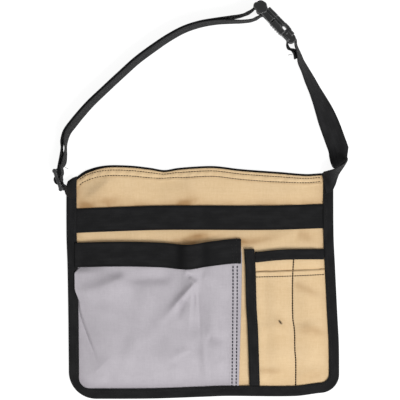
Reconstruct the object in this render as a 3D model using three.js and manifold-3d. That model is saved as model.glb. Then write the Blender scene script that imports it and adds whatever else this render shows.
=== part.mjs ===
// Waist tool bag lying on its back, strap standing on edge above the mouth.
// Millimetres. Origin on the floor under the middle of the bag, +X to the bag's right,
// +Y towards the mouth and the strap, +Z up out of the front.
import * as THREE from "three";
import Module from "manifold-3d";

const wasm = await Module();
wasm.setup();

// Cloth thicknesses and the clearance kept between sewn layers
const CANVAS = 1.0;
const TAPE = 1.2;
const WEBBING = 1.4;
const GAP = 0.35;
const TAPE_GAP = 0.65;

// Widths of the cut strips
const STRAP_WIDTH = 25;
const LEAST_SQUARENESS = 0.95;
const BAND_WIDTH = 30;
const BINDING_WIDTH = 12.5;
const TOP_BINDING_DEPTH = 11;

// Heights of the layers where they are sewn together at the bag's edge
const BACK_SEAM = TAPE + GAP;
const FRONT_SEAM = BACK_SEAM + CANVAS + GAP;
const OUTER_SEAM = FRONT_SEAM + CANVAS + GAP;
const BINDING_HEIGHT = 7.1;
const CORNER_LIFT = TAPE + GAP;
const SEAM_MARGIN = TAPE + 0.8;
const BACK_MARGIN = 4;

// Outline of the bag
const CORNERS = { left: 34, right: 22 };
const BINDING_ENDS = { left: 120, right: 134.4, leftSkew: 0.85 };
const HEM_DROP = 2.2;
const SIDES = [
  { y: -146, left: -166.2, right: 171.4 },
  { y: -80, left: -166.8, right: 171.2 },
  { y: -40, left: -167.2, right: 169.2 },
  { y: 20, left: -168.2, right: 166.3 },
  { y: 60, left: -169.5, right: 164.5 },
  { y: 140, left: -169.5, right: 164.2 },
];
const BOTTOM = [
  { x: -170, y: -146 },
  { x: -65, y: -145.8 },
  { x: 0, y: -143.6 },
  { x: 30, y: -142.5 },
  { x: 116, y: -142.6 },
  { x: 147, y: -138.8 },
  { x: 172, y: -137.2 },
];
const TOP = [
  { x: -172, y: 121 },
  { x: -158, y: 130.5 },
  { x: -145, y: 139.4 },
  { x: -122, y: 145.5 },
  { x: -90, y: 145.5 },
  { x: -65, y: 142.8 },
  { x: -47, y: 140 },
  { x: -30, y: 142.6 },
  { x: 0, y: 144.8 },
  { x: 18, y: 144.8 },
  { x: 48, y: 141.2 },
  { x: 98, y: 137.5 },
  { x: 130, y: 135 },
  { x: 150, y: 136 },
  { x: 172, y: 136 },
];

// How far the front stands above its seam, by height, and how its mouth waves
const FRONT_RAMP = 40;
const FRONT_RISE = [
  { y: -146, rise: 2.6 },
  { y: -60, rise: 3.4 },
  { y: 40, rise: 3.4 },
  { y: 78, rise: 3.1 },
  { y: 112, rise: 4.2 },
  { y: 150, rise: 4.6 },
];
const MOUTH_DEPTH = 38;
const MOUTH_WAVE = [
  { x: -160, lift: 0 },
  { x: -112, lift: 2.2 },
  { x: -47, lift: -2.6 },
  { x: 10, lift: 2.7 },
  { x: 62, lift: 0.4 },
  { x: 125, lift: -0.6 },
  { x: 160, lift: 0 },
];

// Tool band across the front
const TOOL_BAND_RISE = 9.7;
const TOOL_BAND_RAMP = 50;
const TOOL_BAND_TOP = [
  { x: -170, y: 90.5 },
  { x: -128, y: 92.5 },
  { x: -46, y: 95 },
  { x: 85, y: 95 },
  { x: 148, y: 96.9 },
  { x: 172, y: 97 },
];

// Grey pocket, its mouth line with one dent, and its sewn right side
const GREY_SWELL = 4.8;
const GREY_RAMP = 45;
const GREY_SEW_RAMP = 28;
const GREY_FOLD = { x: -17, height: 3.4, left: 8, right: 15, fade: 55 };
const GREY_SEW = 12;
const GREY_TOP = [
  { x: -170, y: 48.6 },
  { x: -100, y: 50 },
  { x: -50, y: 48.8 },
  { x: -18, y: 46.2 },
  { x: 8, y: 50 },
  { x: 40, y: 53.6 },
  { x: 52, y: 53.4 },
];
const GREY_RIGHT = [
  { y: -146, x: 45.2 },
  { y: 22, x: 49.4 },
  { y: 54, x: 47 },
];

// Tool pocket: outer line of its side binding, its mouth line and the line of stitches that splits it
const TOOL_SWELL = 5.9;
const TOOL_FADE = 45;
const TOOL_LEFT = [
  { y: -146, x: 59.8 },
  { y: -60, x: 57 },
  { y: -30, x: 55.2 },
  { y: 15, x: 54 },
  { y: 41, x: 52.5 },
];
const TOOL_TOP = [
  { x: 50, y: 37 },
  { x: 68, y: 37.6 },
  { x: 91, y: 40 },
  { x: 115, y: 41.2 },
  { x: 172, y: 41.2 },
];
const TOOL_SPLIT = [
  { y: -146, x: 117 },
  { y: -80, x: 116 },
  { y: -40, x: 113.6 },
  { y: 0, x: 113 },
  { y: 41, x: 114.4 },
];

// Slider and buckle: where each stands, the bearing of its length axis and how far its top leans out
const GLIDE = { x: -178.6, y: 127.2, z: 17.3, bearing: 109, lean: 6 };
const GLIDE_SIZE = { length: 24, width: 32, thickness: 3.0, middleBar: 3.0, slot: 7.3, slotWidth: 25.8 };
const BUCKLE = { x: 95.2, y: 319, z: 17.6, bearing: -46, lean: -1 };
const BUCKLE_SIZE = { width: 34, thickness: 12.4, slotWidth: 26.4, bar: 4.2, cavity: 5.8 };

// Long strap: from the left corner to the slider. Lean is from upright, towards is the lean's bearing.
const STRAP_CORNER = [
  { x: -157.2, y: 118.6, z: 8.3, lean: 90, towards: 268 },
  { x: -160.2, y: 117.6, z: 9.2, lean: 86, towards: 268 },
  { x: -164.4, y: 117.0, z: 13.3, lean: 62, towards: 266 },
  { x: -168.4, y: 118.0, z: 17.0, lean: 36, towards: 262 },
];
// Through the slider, along and across it
const STRAP_WEAVE = [
  { along: -10.6, across: -4.6 },
  { along: -8.4, across: -3.2 },
  { along: -5.9, across: 0 },
  { along: -5.0, across: 1.9 },
  { along: -3.4, across: 3.75 },
  { along: -1.3, across: 4.6 },
  { along: 1.3, across: 4.6 },
  { along: 3.4, across: 3.75 },
  { along: 5.0, across: 1.9 },
  { along: 5.9, across: 0 },
  { along: 8.2, across: -2.7 },
  { along: 11.0, across: -3.3 },
];
// Outer layer of the doubled stretch, and how far the inner layer stands from it.
// Both are moved inwards from the line of the outer face.
const ARCH_INSET = 1.7;
const STRAP_ARCH = [
  { x: -177.8, y: 148.5, z: 16.0, lean: 11, apart: 3.6 },
  { x: -176.6, y: 158.5, z: 14.2, lean: 8, apart: 4.2 },
  { x: -176.4, y: 167.5, z: 13.4, lean: 3, apart: 4.8 },
  { x: -175.6, y: 176.3, z: 13.3, lean: 9, apart: 3.8 },
  { x: -171.3, y: 188.0, z: 13.3, lean: 15, apart: 2.4 },
  { x: -163.0, y: 199.4, z: 13.3, lean: 17, apart: 2.0 },
  { x: -143.5, y: 222.3, z: 13.3, lean: 16, apart: 1.9 },
  { x: -123.5, y: 241.6, z: 13.4, lean: 15, apart: 1.9 },
  { x: -103.5, y: 260.2, z: 13.4, lean: 15, apart: 1.9 },
  { x: -83.6, y: 278.2, z: 13.4, lean: 15, apart: 1.9 },
  { x: -63.6, y: 293.2, z: 13.4, lean: 15, apart: 1.9 },
  { x: -43.6, y: 306.8, z: 13.4, lean: 14, apart: 1.9 },
  { x: -23.0, y: 317.9, z: 13.5, lean: 13, apart: 1.9 },
  { x: -2.5, y: 324.6, z: 13.7, lean: 12, apart: 1.9 },
  { x: 17.4, y: 328.4, z: 14.3, lean: 10, apart: 2.6 },
  { x: 36.0, y: 331.4, z: 15.4, lean: 8, apart: 5.0 },
];
// Round the two bars of the prong half, along and across the buckle
const STRAP_TURN = [
  { along: -41.0, across: -23.2 },
  { along: -37.4, across: -13.3 },
  { along: -36.9, across: -6.4 },
  { along: -38.8, across: -2.0 },
  { along: -39.4, across: 2.0 },
  { along: -38.0, across: 5.6 },
  { along: -34.6, across: 7.4 },
  { along: -30.4, across: 6.8 },
  { along: -26.6, across: 5.2 },
  { along: -23.4, across: 3.9 },
  { along: -21.1, across: 2.8 },
  { along: -20.3, across: 0 },
  { along: -21.4, across: -3.4 },
  { along: -24.6, across: -7.4 },
  { along: -25.6, across: -11.5 },
  { along: -28.2, across: -18.6 },
  { along: -35.6, across: -28.5 },
];
// Back at the slider, round its middle bar, and the sewn tail
const STRAP_END = [
  { along: 11.2, across: -5.2 },
  { along: 7.0, across: -4.0 },
  { along: 4.4, across: -1.1 },
  { along: 2.9, across: 0.8 },
  { along: 2.1, across: 2.4 },
  { along: 0, across: 2.8 },
  { along: -2.1, across: 2.4 },
  { along: -2.8, across: 0 },
  { along: -2.1, across: -2.4 },
  { along: 0, across: -2.9 },
  { along: 2.6, across: -3.7 },
  { along: 5.6, across: -6.0 },
  { along: 10.5, across: -7.2 },
  { along: 18, across: -7.6 },
];

// Short strap: from the right corner, turning over once, to the socket half
const SHORT_CORNER = [
  { x: 152.6, y: 123.2, z: 8.4, lean: 90, towards: 102 },
  { x: 156.0, y: 124.8, z: 9.4, lean: 85, towards: 111 },
  { x: 160.4, y: 129.2, z: 15.2, lean: 54, towards: 120 },
  { x: 168.0, y: 137.9, z: 15.5, lean: 21, towards: 131 },
  { x: 178.2, y: 148.0, z: 13.5, lean: 6, towards: 160 },
  { x: 181.1, y: 152.3, z: 13.2, lean: 3, towards: 190 },
  { x: 178.2, y: 150.6, z: 12.0, lean: 24, towards: 218 },
  { x: 173.4, y: 149.6, z: 7.8, lean: 59, towards: 222 },
  { x: 171.6, y: 156.8, z: 3.6, lean: 80, towards: 213 },
  { x: 170.6, y: 165.5, z: 2.8, lean: 85, towards: 202 },
  { x: 166.4, y: 177.5, z: 2.8, lean: 85, towards: 199 },
  { x: 161.9, y: 190, z: 3.2, lean: 84, towards: 201 },
  { x: 157.2, y: 202.2, z: 4.2, lean: 76, towards: 203 },
  { x: 152.2, y: 214.7, z: 6.6, lean: 62, towards: 205 },
  { x: 146.6, y: 227.2, z: 9.4, lean: 48, towards: 206 },
  { x: 140.5, y: 239.8, z: 11.6, lean: 35, towards: 207 },
  { x: 134.4, y: 252.2, z: 13.4, lean: 28, towards: 207 },
  { x: 128.4, y: 264.8, z: 15.2, lean: 18, towards: 207 },
];
// Round the bar of the socket half, along and across the buckle, ending in the sewn tail
const SHORT_LOOP = [
  { along: 51, across: -10.4 },
  { along: 46, across: -7.6 },
  { along: 41, across: -4.9 },
  { along: 36, across: -2.6 },
  { along: 31.3, across: -0.2 },
  { along: 27, across: 3.7 },
  { along: 22.6, across: 4.5 },
  { along: 18.6, across: 3.3 },
  { along: 17, across: 0 },
  { along: 18.6, across: -3.4 },
  { along: 22.6, across: -5 },
  { along: 26.6, across: -7.4 },
  { along: 30.8, across: -8.2 },
  { along: 35.2, across: -5.6 },
  { along: 39.4, across: -6.4 },
  { along: 43.6, across: -9.2 },
];

const COLOURS = {
  tan: "#d9b990",
  grey: "#bdb8be",
  black: "#2b2b2b",
  plastic: "#3c3c3c",
};

// Small number helpers
const clamp = THREE.MathUtils.clamp;
const lerp = THREE.MathUtils.lerp;
const radians = THREE.MathUtils.degToRad;
const smooth = (t) => THREE.MathUtils.smoothstep(t, 0, 1);
const bell = (t) => Math.exp(-t * t);

// Smooth value of one column of a table at a key, through every row
function lookup(table, key, column, at) {
  const last = table.length - 1;
  const place = clamp(at, table[0][key], table[last][key]);
  let i = 0;
  while (i < last - 1 && place > table[i + 1][key]) i += 1;
  const slope = (k) => {
    const a = table[Math.max(k - 1, 0)];
    const b = table[Math.min(k + 1, last)];
    return (b[column] - a[column]) / (b[key] - a[key]);
  };
  const span = table[i + 1][key] - table[i][key];
  const t = (place - table[i][key]) / span;
  const rise = table[i + 1][column] - table[i][column];
  const start = slope(i) * span;
  const end = slope(i + 1) * span;
  const bend = 3 * rise - 2 * start - end;
  const twist = start + end - 2 * rise;
  return table[i][column] + t * (start + t * (bend + t * twist));
}

// Evenly spaced places from 0 to 1, drawn towards both ends by a share
function crowded(count, share) {
  return Array.from({ length: count + 1 }, (_, i) => {
    const t = i / count;
    return t - (share * Math.sin(2 * Math.PI * t)) / (2 * Math.PI);
  });
}

// Outline of the bag
const leftEdge = (y) => lookup(SIDES, "y", "left", y);
const rightEdge = (y) => lookup(SIDES, "y", "right", y);
const bottomEdge = (x) => lookup(BOTTOM, "x", "y", x);
const topEdge = (x) => lookup(TOP, "x", "y", x);

const cornerRadius = (x) => (x < 0 ? CORNERS.left : CORNERS.right);

// Distance in from the bound edge, round the two bottom corners as well
function edgeDistance(x, y) {
  const side = Math.min(x - leftEdge(y), rightEdge(y) - x);
  const bottom = y - bottomEdge(x);
  const radius = cornerRadius(x);
  if (side < radius && bottom < radius) {
    return radius - Math.hypot(radius - side, radius - bottom);
  }
  return Math.min(side, bottom);
}

// Underside heights of the cloth layers
function backUnder(x, y) {
  const sides = smooth((edgeDistance(x, y) - BINDING_WIDTH - BACK_MARGIN) / 18);
  const top = smooth((topEdge(x) - y - TOP_BINDING_DEPTH - BACK_MARGIN) / 35);
  return BACK_SEAM * (1 - sides * top);
}

function frontUnder(x, y) {
  const seam = FRONT_SEAM + CORNER_LIFT * smooth((y - 95) / 20);
  const ramp = smooth((edgeDistance(x, y) - BINDING_WIDTH) / FRONT_RAMP);
  const wave = lookup(MOUTH_WAVE, "x", "lift", x) * bell((topEdge(x) - y) / MOUTH_DEPTH);
  return seam + (lookup(FRONT_RISE, "y", "rise", y) + wave) * ramp;
}

const frontFace = (x, y) => frontUnder(x, y) + CANVAS;

function toolBandUnder(x, y) {
  const inside = edgeDistance(x, y) - BINDING_WIDTH;
  return OUTER_SEAM + 0.1 + TOOL_BAND_RISE * smooth(inside / TOOL_BAND_RAMP);
}

function greyUnder(x, y) {
  const sewn = lookup(GREY_RIGHT, "y", "x", y) - GREY_SEW;
  const bound = smooth((edgeDistance(x, y) - BINDING_WIDTH) / GREY_RAMP);
  const edges = bound * smooth((sewn - x) / GREY_SEW_RAMP);
  const below = (lookup(GREY_TOP, "x", "y", x) - y) / GREY_FOLD.fade;
  const aside = x - GREY_FOLD.x;
  const flank = aside < 0 ? GREY_FOLD.left : GREY_FOLD.right;
  const fold = GREY_FOLD.height * bell(aside / flank) * bell(below);
  return frontFace(x, y) + GAP + (GREY_SWELL + fold) * edges;
}

function toolPocketUnder(x, y) {
  const start = lookup(TOOL_LEFT, "y", "x", y) + BINDING_WIDTH + 1.5;
  const split = lookup(TOOL_SPLIT, "y", "x", y);
  const end = rightEdge(y) - BINDING_WIDTH - 1;
  const inside = edgeDistance(x, y) - BINDING_WIDTH - 1;
  const byTape = Math.max(
    1 - smooth((x - start) / 12),
    1 - smooth((lookup(TOOL_TOP, "x", "y", x) - BINDING_WIDTH - 1.5 - y) / 14),
  );
  const across = x < split ? (x - start) / (split - start) : (x - split) / (end - split);
  const swell = TOOL_SWELL * smooth(across / 0.36) * smooth((1 - across) / 0.36);
  const lift = (TAPE + TAPE_GAP) * byTape * smooth(inside / 16);
  const fade = smooth((y - bottomEdge(x) - BINDING_WIDTH - 1) / TOOL_FADE);
  return frontFace(x, y) + GAP + lift + swell * fade;
}

// A closed body through rings of equal count, each counter-clockwise seen from the way they run.
// The ring is a folded strip: point k lies opposite point count-1-k, which is how the ends are closed.
function loft(rings) {
  const count = rings[0].length;
  const position = rings.flat().flatMap((p) => [p.x, p.y, p.z]);
  const index = [];
  const quad = (a, b, c, d) => index.push(a, b, c, a, c, d);
  for (let r = 0; r < rings.length - 1; r += 1) {
    for (let k = 0; k < count; k += 1) {
      const next = (k + 1) % count;
      quad(r * count + k, r * count + next, (r + 1) * count + next, (r + 1) * count + k);
    }
  }
  const lastRing = (rings.length - 1) * count;
  for (let k = 0; k < count / 2 - 1; k += 1) {
    quad(count - 1 - k, count - 2 - k, k + 1, k);
    quad(lastRing + k, lastRing + k + 1, lastRing + count - 2 - k, lastRing + count - 1 - k);
  }
  const geometry = new THREE.BufferGeometry();
  geometry.setAttribute("position", new THREE.Float32BufferAttribute(position, 3));
  geometry.setIndex(index);
  geometry.computeVertexNormals();
  return geometry;
}

// A cloth sheet: rows of plan points, each lifted to its underside height and given a thickness
function sheet(rows, under, thickness) {
  const rings = rows.map((row) => {
    const below = row.map((p) => new THREE.Vector3(p.x, p.y, under(p.x, p.y)));
    const above = below.map((p) => new THREE.Vector3(p.x, p.y, p.z + thickness));
    return [...above, ...below.reverse()];
  });
  return loft(rings);
}

// How far in a panel's edge lies at a height above the bottom edge, round a corner
function cornerInset(radius, lift) {
  const left = radius - Math.min(lift, radius);
  return radius - Math.sqrt((radius - SEAM_MARGIN) ** 2 - left ** 2);
}

// Plan rows of a panel that ends inside the bound edge; a side that is bound follows the round corner
function panelRows({ left, right, top, boundLeft, boundRight, columns, cornerRows, bodyRows }) {
  const tallest = boundLeft ? CORNERS.left : CORNERS.right;
  const steps = [];
  for (let i = 0; i <= cornerRows; i += 1) {
    const turn = ((i / cornerRows) * Math.PI) / 2;
    const lift = SEAM_MARGIN + (tallest - SEAM_MARGIN) * (1 - Math.cos(turn));
    steps.push({ lift, body: 0 });
  }
  for (let i = 1; i <= bodyRows; i += 1) {
    steps.push({ lift: tallest, body: i / bodyRows });
  }
  const middle = (left(0) + right(0)) / 2;
  const height = (x, step) => {
    const start = bottomEdge(x) + step.lift;
    return lerp(start, top(x), step.body);
  };
  return steps.map((step) => {
    const level = height(middle, step);
    const from = left(level) + (boundLeft ? cornerInset(CORNERS.left, step.lift) : 0);
    const to = right(level) - (boundRight ? cornerInset(CORNERS.right, step.lift) : 0);
    return columns.map((u) => {
      const x = lerp(from, to, u);
      return { x, y: height(x, step) };
    });
  });
}

// Plan rows of a strip of even width that hangs below a line
function stripRows(from, to, line, width, columns) {
  return [width, 0].map((drop) =>
    columns.map((u) => {
      const x = lerp(from, to, u);
      return { x, y: line(x) - drop };
    }),
  );
}

// A tape folded over an edge. Each section gives the fold's plan point, the way into the cloth,
// the low and high faces at the fold and at the free edge, and the length of the leg below.
function foldedTape(sections) {
  const rings = sections.map(({ x, y, into, low, high, lowLeg, highLeg }) => {
    const at = (depth, z) => new THREE.Vector3(x + into.x * depth, y + into.y * depth, z);
    return [
      at(highLeg, high(highLeg)),
      at(0, high(0)),
      at(0, low(0)),
      at(lowLeg, low(lowLeg)),
      at(lowLeg, low(lowLeg) + TAPE),
      at(TAPE, low(0) + TAPE),
      at(TAPE, high(0) - TAPE),
      at(highLeg, high(highLeg) - TAPE),
    ];
  });
  return loft(rings);
}

// The bound edge from the left end of the tape, round both corners, to the right end
function boundPath(sideSteps, cornerSteps, bottomSteps) {
  const path = [];
  const leftCorner = leftEdge(-112) + CORNERS.left;
  const rightCorner = rightEdge(-116) - CORNERS.right;
  const arc = (centre, radius, from) => {
    for (let i = 0; i <= cornerSteps; i += 1) {
      const angle = radians(from + (90 * i) / cornerSteps);
      const x = centre + radius * Math.cos(angle);
      path.push({ x, y: bottomEdge(x) + radius * (1 + Math.sin(angle)) });
    }
  };
  const sideEnd = (x, radius) => bottomEdge(x) + radius;
  for (let i = 0; i < sideSteps; i += 1) {
    const y = lerp(BINDING_ENDS.left, sideEnd(leftCorner - CORNERS.left, CORNERS.left), i / sideSteps);
    path.push({ x: leftEdge(y), y });
  }
  arc(leftCorner, CORNERS.left, 180);
  for (let i = 1; i < bottomSteps; i += 1) {
    const x = lerp(leftCorner, rightCorner, i / bottomSteps);
    path.push({ x, y: bottomEdge(x) });
  }
  arc(rightCorner, CORNERS.right, 270);
  for (let i = 1; i <= sideSteps; i += 1) {
    const y = lerp(sideEnd(rightCorner + CORNERS.right, CORNERS.right), BINDING_ENDS.right, i / sideSteps);
    path.push({ x: rightEdge(y), y });
  }
  return path;
}

function edgeBinding() {
  const path = boundPath(10, 8, 16);
  return foldedTape(
    path.map((point, i) => {
      const before = path[Math.max(i - 1, 0)];
      const after = path[Math.min(i + 1, path.length - 1)];
      const run = Math.hypot(after.x - before.x, after.y - before.y);
      const skew = point.x < 0 ? BINDING_ENDS.leftSkew * smooth((point.y - 90) / 30) : 0;
      return {
        ...point,
        into: { x: -(after.y - before.y) / run, y: (after.x - before.x) / run + skew },
        low: () => 0,
        high: () => BINDING_HEIGHT,
        lowLeg: BINDING_WIDTH,
        highLeg: BINDING_WIDTH,
      };
    }),
  );
}

function backTopBinding() {
  const from = rightEdge(130) - BINDING_WIDTH - 0.7;
  const to = leftEdge(125) + BINDING_WIDTH + 0.7;
  return foldedTape(
    crowded(26, 0).map((t) => {
      const x = lerp(from, to, t);
      return {
        x,
        y: topEdge(x),
        into: { x: 0, y: -1 },
        low: () => 0,
        high: () => FRONT_SEAM + TAPE,
        lowLeg: TOP_BINDING_DEPTH,
        highLeg: TOP_BINDING_DEPTH,
      };
    }),
  );
}

// Tape over an edge of the tool pocket; near the bound edge only the outer leg is left
function pocketTape(points, into) {
  return foldedTape(
    points.map(({ x, y }) => {
      const room = edgeDistance(x, y) - BINDING_WIDTH;
      const at = (depth) => [x + into.x * depth, y + into.y * depth];
      const clothUnder = (depth) => toolPocketUnder(...at(Math.max(depth, SEAM_MARGIN)));
      const rest = (depth) => frontFace(...at(depth)) + GAP;
      return {
        x,
        y,
        into,
        low: (depth) => Math.max(clothUnder(depth) - TAPE_GAP - TAPE, rest(depth)),
        high: (depth) => clothUnder(depth) + CANVAS + TAPE_GAP + TAPE,
        lowLeg: TAPE + 0.2 + (BINDING_WIDTH - TAPE - 0.2) * smooth((room - 20) / 6),
        highLeg: BINDING_WIDTH,
      };
    }),
  );
}

function toolPocketSideBinding() {
  const top = 40.8;
  const bottom = bottomEdge(66) + BINDING_WIDTH + 1;
  const points = crowded(18, 0).map((t) => {
    const y = lerp(top, bottom, t);
    return { x: lookup(TOOL_LEFT, "y", "x", y), y };
  });
  return pocketTape(points, { x: 1, y: 0 });
}

function toolPocketTopBinding() {
  const from = rightEdge(36) - BINDING_WIDTH - 0.9;
  const to = lookup(TOOL_LEFT, "y", "x", 25) + BINDING_WIDTH + 0.6;
  const points = crowded(24, 0).map((t) => {
    const x = lerp(from, to, t);
    return { x, y: lookup(TOOL_TOP, "x", "y", x) };
  });
  return pocketTape(points, { x: 0, y: -1 });
}

// Frame of a hard piece that stands on edge: along its length, across its thickness, and up its width
function standing({ x, y, z, bearing, lean }) {
  const along = new THREE.Vector3(Math.cos(radians(bearing)), Math.sin(radians(bearing)), 0);
  const level = new THREE.Vector3(-along.y, along.x, 0);
  const up = level.clone().multiplyScalar(Math.sin(radians(lean)));
  up.z = Math.cos(radians(lean));
  const across = up.clone().cross(along);
  return { origin: new THREE.Vector3(x, y, z), along, across, up };
}

const glideFrame = standing(GLIDE);
const buckleFrame = standing(BUCKLE);

function placed(geometry, frame) {
  const matrix = new THREE.Matrix4().makeBasis(frame.along, frame.across, frame.up);
  matrix.setPosition(frame.origin);
  return geometry.clone().applyMatrix4(matrix);
}

// Rows of a strap: a centre and the direction of its width
function leaning({ x, y, z, lean, towards }) {
  const flat = Math.sin(radians(lean));
  const width = new THREE.Vector3(
    flat * Math.cos(radians(towards)),
    flat * Math.sin(radians(towards)),
    Math.cos(radians(lean)),
  );
  return { centre: new THREE.Vector3(x, y, z), width };
}

function onFrame(frame) {
  return ({ along, across }) => ({
    centre: frame.origin
      .clone()
      .addScaledVector(frame.along, along)
      .addScaledVector(frame.across, across),
    width: frame.up.clone(),
  });
}

// The doubled stretch: one layer of the arch, moved inwards by a share of the spacing
function archLayer(share) {
  return STRAP_ARCH.map((row, i) => {
    const before = STRAP_ARCH[Math.max(i - 1, 0)];
    const after = STRAP_ARCH[Math.min(i + 1, STRAP_ARCH.length - 1)];
    const heading = Math.atan2(after.y - before.y, after.x - before.x);
    const inward = heading - Math.PI / 2;
    const inset = ARCH_INSET + share * row.apart;
    const towards = THREE.MathUtils.radToDeg(heading) + 90;
    return leaning({
      x: row.x + inset * Math.cos(inward),
      y: row.y + inset * Math.sin(inward),
      z: row.z,
      lean: row.lean,
      towards,
    });
  });
}

// A strap of webbing through its rows
function ribbon(rows, stepsPerRow) {
  const centres = new THREE.CatmullRomCurve3(rows.map((row) => row.centre));
  const widths = new THREE.CatmullRomCurve3(rows.map((row) => row.width));
  const steps = (rows.length - 1) * stepsPerRow;
  const rings = [];
  for (let i = 0; i <= steps; i += 1) {
    const centre = centres.getPoint(i / steps);
    const run = centres.getTangent(i / steps);
    const width = widths.getPoint(i / steps).normalize();
    const face = run.clone().cross(width);
    const reach = STRAP_WIDTH / 2 / Math.max(face.length(), LEAST_SQUARENESS);
    face.normalize();
    const corner = (side, layer) =>
      centre
        .clone()
        .addScaledVector(width, side * reach)
        .addScaledVector(face, (layer * WEBBING) / 2);
    rings.push([corner(-1, -1), corner(1, -1), corner(1, 1), corner(-1, 1)]);
  }
  return loft(rings);
}

function waistStrap() {
  const rows = [
    ...STRAP_CORNER.map(leaning),
    ...STRAP_WEAVE.map(onFrame(glideFrame)),
    ...archLayer(0),
    ...STRAP_TURN.map(onFrame(buckleFrame)),
    ...archLayer(1).reverse(),
    ...STRAP_END.map(onFrame(glideFrame)),
  ];
  return ribbon(rows, 2);
}

function shortStrap() {
  const rows = [...SHORT_CORNER.map(leaning), ...SHORT_LOOP.map(onFrame(buckleFrame))];
  return ribbon(rows, 3);
}

// Solid operations for the hard pieces
function solidFrom(geometry) {
  const flat = geometry.index ? geometry.toNonIndexed() : geometry;
  const mesh = new wasm.Mesh({
    numProp: 3,
    vertProperties: new Float32Array(flat.getAttribute("position").array),
    triVerts: Uint32Array.from({ length: flat.getAttribute("position").count }, (_, i) => i),
  });
  mesh.merge();
  return new wasm.Manifold(mesh);
}

function geometryFrom(solid) {
  const mesh = solid.getMesh();
  const geometry = new THREE.BufferGeometry();
  geometry.setAttribute("position", new THREE.BufferAttribute(mesh.vertProperties, 3));
  geometry.setIndex(new THREE.BufferAttribute(mesh.triVerts, 1));
  const faceted = geometry.toNonIndexed();
  faceted.computeVertexNormals();
  return faceted;
}

// A box given by its ranges along, across and up
function block(along, across, up) {
  const size = [along, across, up].map(([low, high]) => high - low);
  const middle = [along, across, up].map(([low, high]) => (low + high) / 2);
  return wasm.Manifold.cube(size, true).translate(middle);
}

// A rounded plate lying in the along-up plane, centred across
function plate([low, high], width, thickness, round) {
  const half = width / 2;
  const shape = new THREE.Shape();
  shape.moveTo(low + round, -half);
  shape.lineTo(high - round, -half);
  shape.quadraticCurveTo(high, -half, high, -half + round);
  shape.lineTo(high, half - round);
  shape.quadraticCurveTo(high, half, high - round, half);
  shape.lineTo(low + round, half);
  shape.quadraticCurveTo(low, half, low, half - round);
  shape.lineTo(low, -half + round);
  shape.quadraticCurveTo(low, -half, low + round, -half);
  const bevel = Math.min(1, thickness / 5);
  const geometry = new THREE.ExtrudeGeometry(shape, {
    depth: thickness - 2 * bevel,
    bevelEnabled: true,
    bevelThickness: bevel,
    bevelSize: bevel,
    bevelOffset: -bevel,
    bevelSegments: 2,
    curveSegments: 4,
  });
  geometry.translate(0, 0, bevel - thickness / 2);
  geometry.rotateX(Math.PI / 2);
  return solidFrom(geometry);
}

function triGlide() {
  const { length, width, thickness, middleBar, slot, slotWidth } = GLIDE_SIZE;
  const half = slotWidth / 2;
  const through = [-thickness, thickness];
  const near = middleBar / 2;
  const frame = plate([-length / 2, length / 2], width, thickness, 3);
  const lower = block([-near - slot, -near], through, [-half, half]);
  const upper = block([near, near + slot], through, [-half, half]);
  return placed(geometryFrom(frame.subtract(lower).subtract(upper)), glideFrame);
}

function buckleMale() {
  const { width, thickness, slotWidth, bar } = BUCKLE_SIZE;
  const half = slotWidth / 2;
  const through = [-bar, bar];
  const ladder = plate([-36.1, -10], width - 2, bar, 3)
    .subtract(block([-31.9, -26.1], through, [-half, half]))
    .subtract(block([-21.9, -18.4], through, [-half, half]));
  const base = plate([-17.6, -9.6], width - 2, thickness - 1.4, 2);
  const guide = block([-10.5, 8.6], [-2.3, 2.3], [-2.5, 2.5]);
  const arms = [-1, 1].map((side) => {
    const stem = block([-10.5, 8], [-2.3, 2.3], [side * 12 - 1.6, side * 12 + 1.6]);
    const grip = block([-2, 6.6], [-2.3, 2.3], [side * 14.5 - 1.9, side * 14.5 + 1.9]);
    return stem.add(grip);
  });
  return placed(geometryFrom(ladder.add(base).add(guide).add(arms[0]).add(arms[1])), buckleFrame);
}

function buckleFemale() {
  const { width, thickness, slotWidth, cavity } = BUCKLE_SIZE;
  const half = slotWidth / 2;
  const hollow = [-cavity / 2, cavity / 2];
  const shell = plate([-9, 26.4], width, thickness, 4.5)
    .subtract(block([-10, 9.6], hollow, [-14.2, 14.2]))
    .subtract(block([-3.5, 8.2], hollow, [-width, width]))
    .subtract(block([13.6, 20], [-thickness, thickness], [-half, half]))
    .subtract(block([19.9, 28], [2.9, thickness], [-half, half]))
    .subtract(block([19.9, 28], [-thickness, -2.9], [-half, half]));
  return placed(geometryFrom(shell), buckleFrame);
}

// The cloth pieces
const hemLine = (x) => topEdge(x) - HEM_DROP;

const backPanel = sheet(
  panelRows({
    left: leftEdge,
    right: rightEdge,
    top: (x) => topEdge(x) - SEAM_MARGIN - 1.5,
    boundLeft: true,
    boundRight: true,
    columns: crowded(16, 0.2),
    cornerRows: 5,
    bodyRows: 11,
  }),
  backUnder,
  CANVAS,
);

const frontPanel = sheet(
  panelRows({
    left: leftEdge,
    right: rightEdge,
    top: hemLine,
    boundLeft: true,
    boundRight: true,
    columns: crowded(26, 0.3),
    cornerRows: 5,
    bodyRows: 14,
  }),
  frontUnder,
  CANVAS,
);

const toolBand = sheet(
  stripRows(
    leftEdge(78) + SEAM_MARGIN,
    rightEdge(78) - SEAM_MARGIN,
    (x) => lookup(TOOL_BAND_TOP, "x", "y", x),
    BAND_WIDTH - 0.6,
    crowded(30, 0.3),
  ),
  toolBandUnder,
  TAPE,
);

const greyPocket = sheet(
  panelRows({
    left: leftEdge,
    right: (y) => lookup(GREY_RIGHT, "y", "x", y),
    top: (x) => lookup(GREY_TOP, "x", "y", x),
    boundLeft: true,
    boundRight: false,
    columns: crowded(22, 0.2),
    cornerRows: 5,
    bodyRows: 9,
  }),
  greyUnder,
  CANVAS,
);

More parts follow.
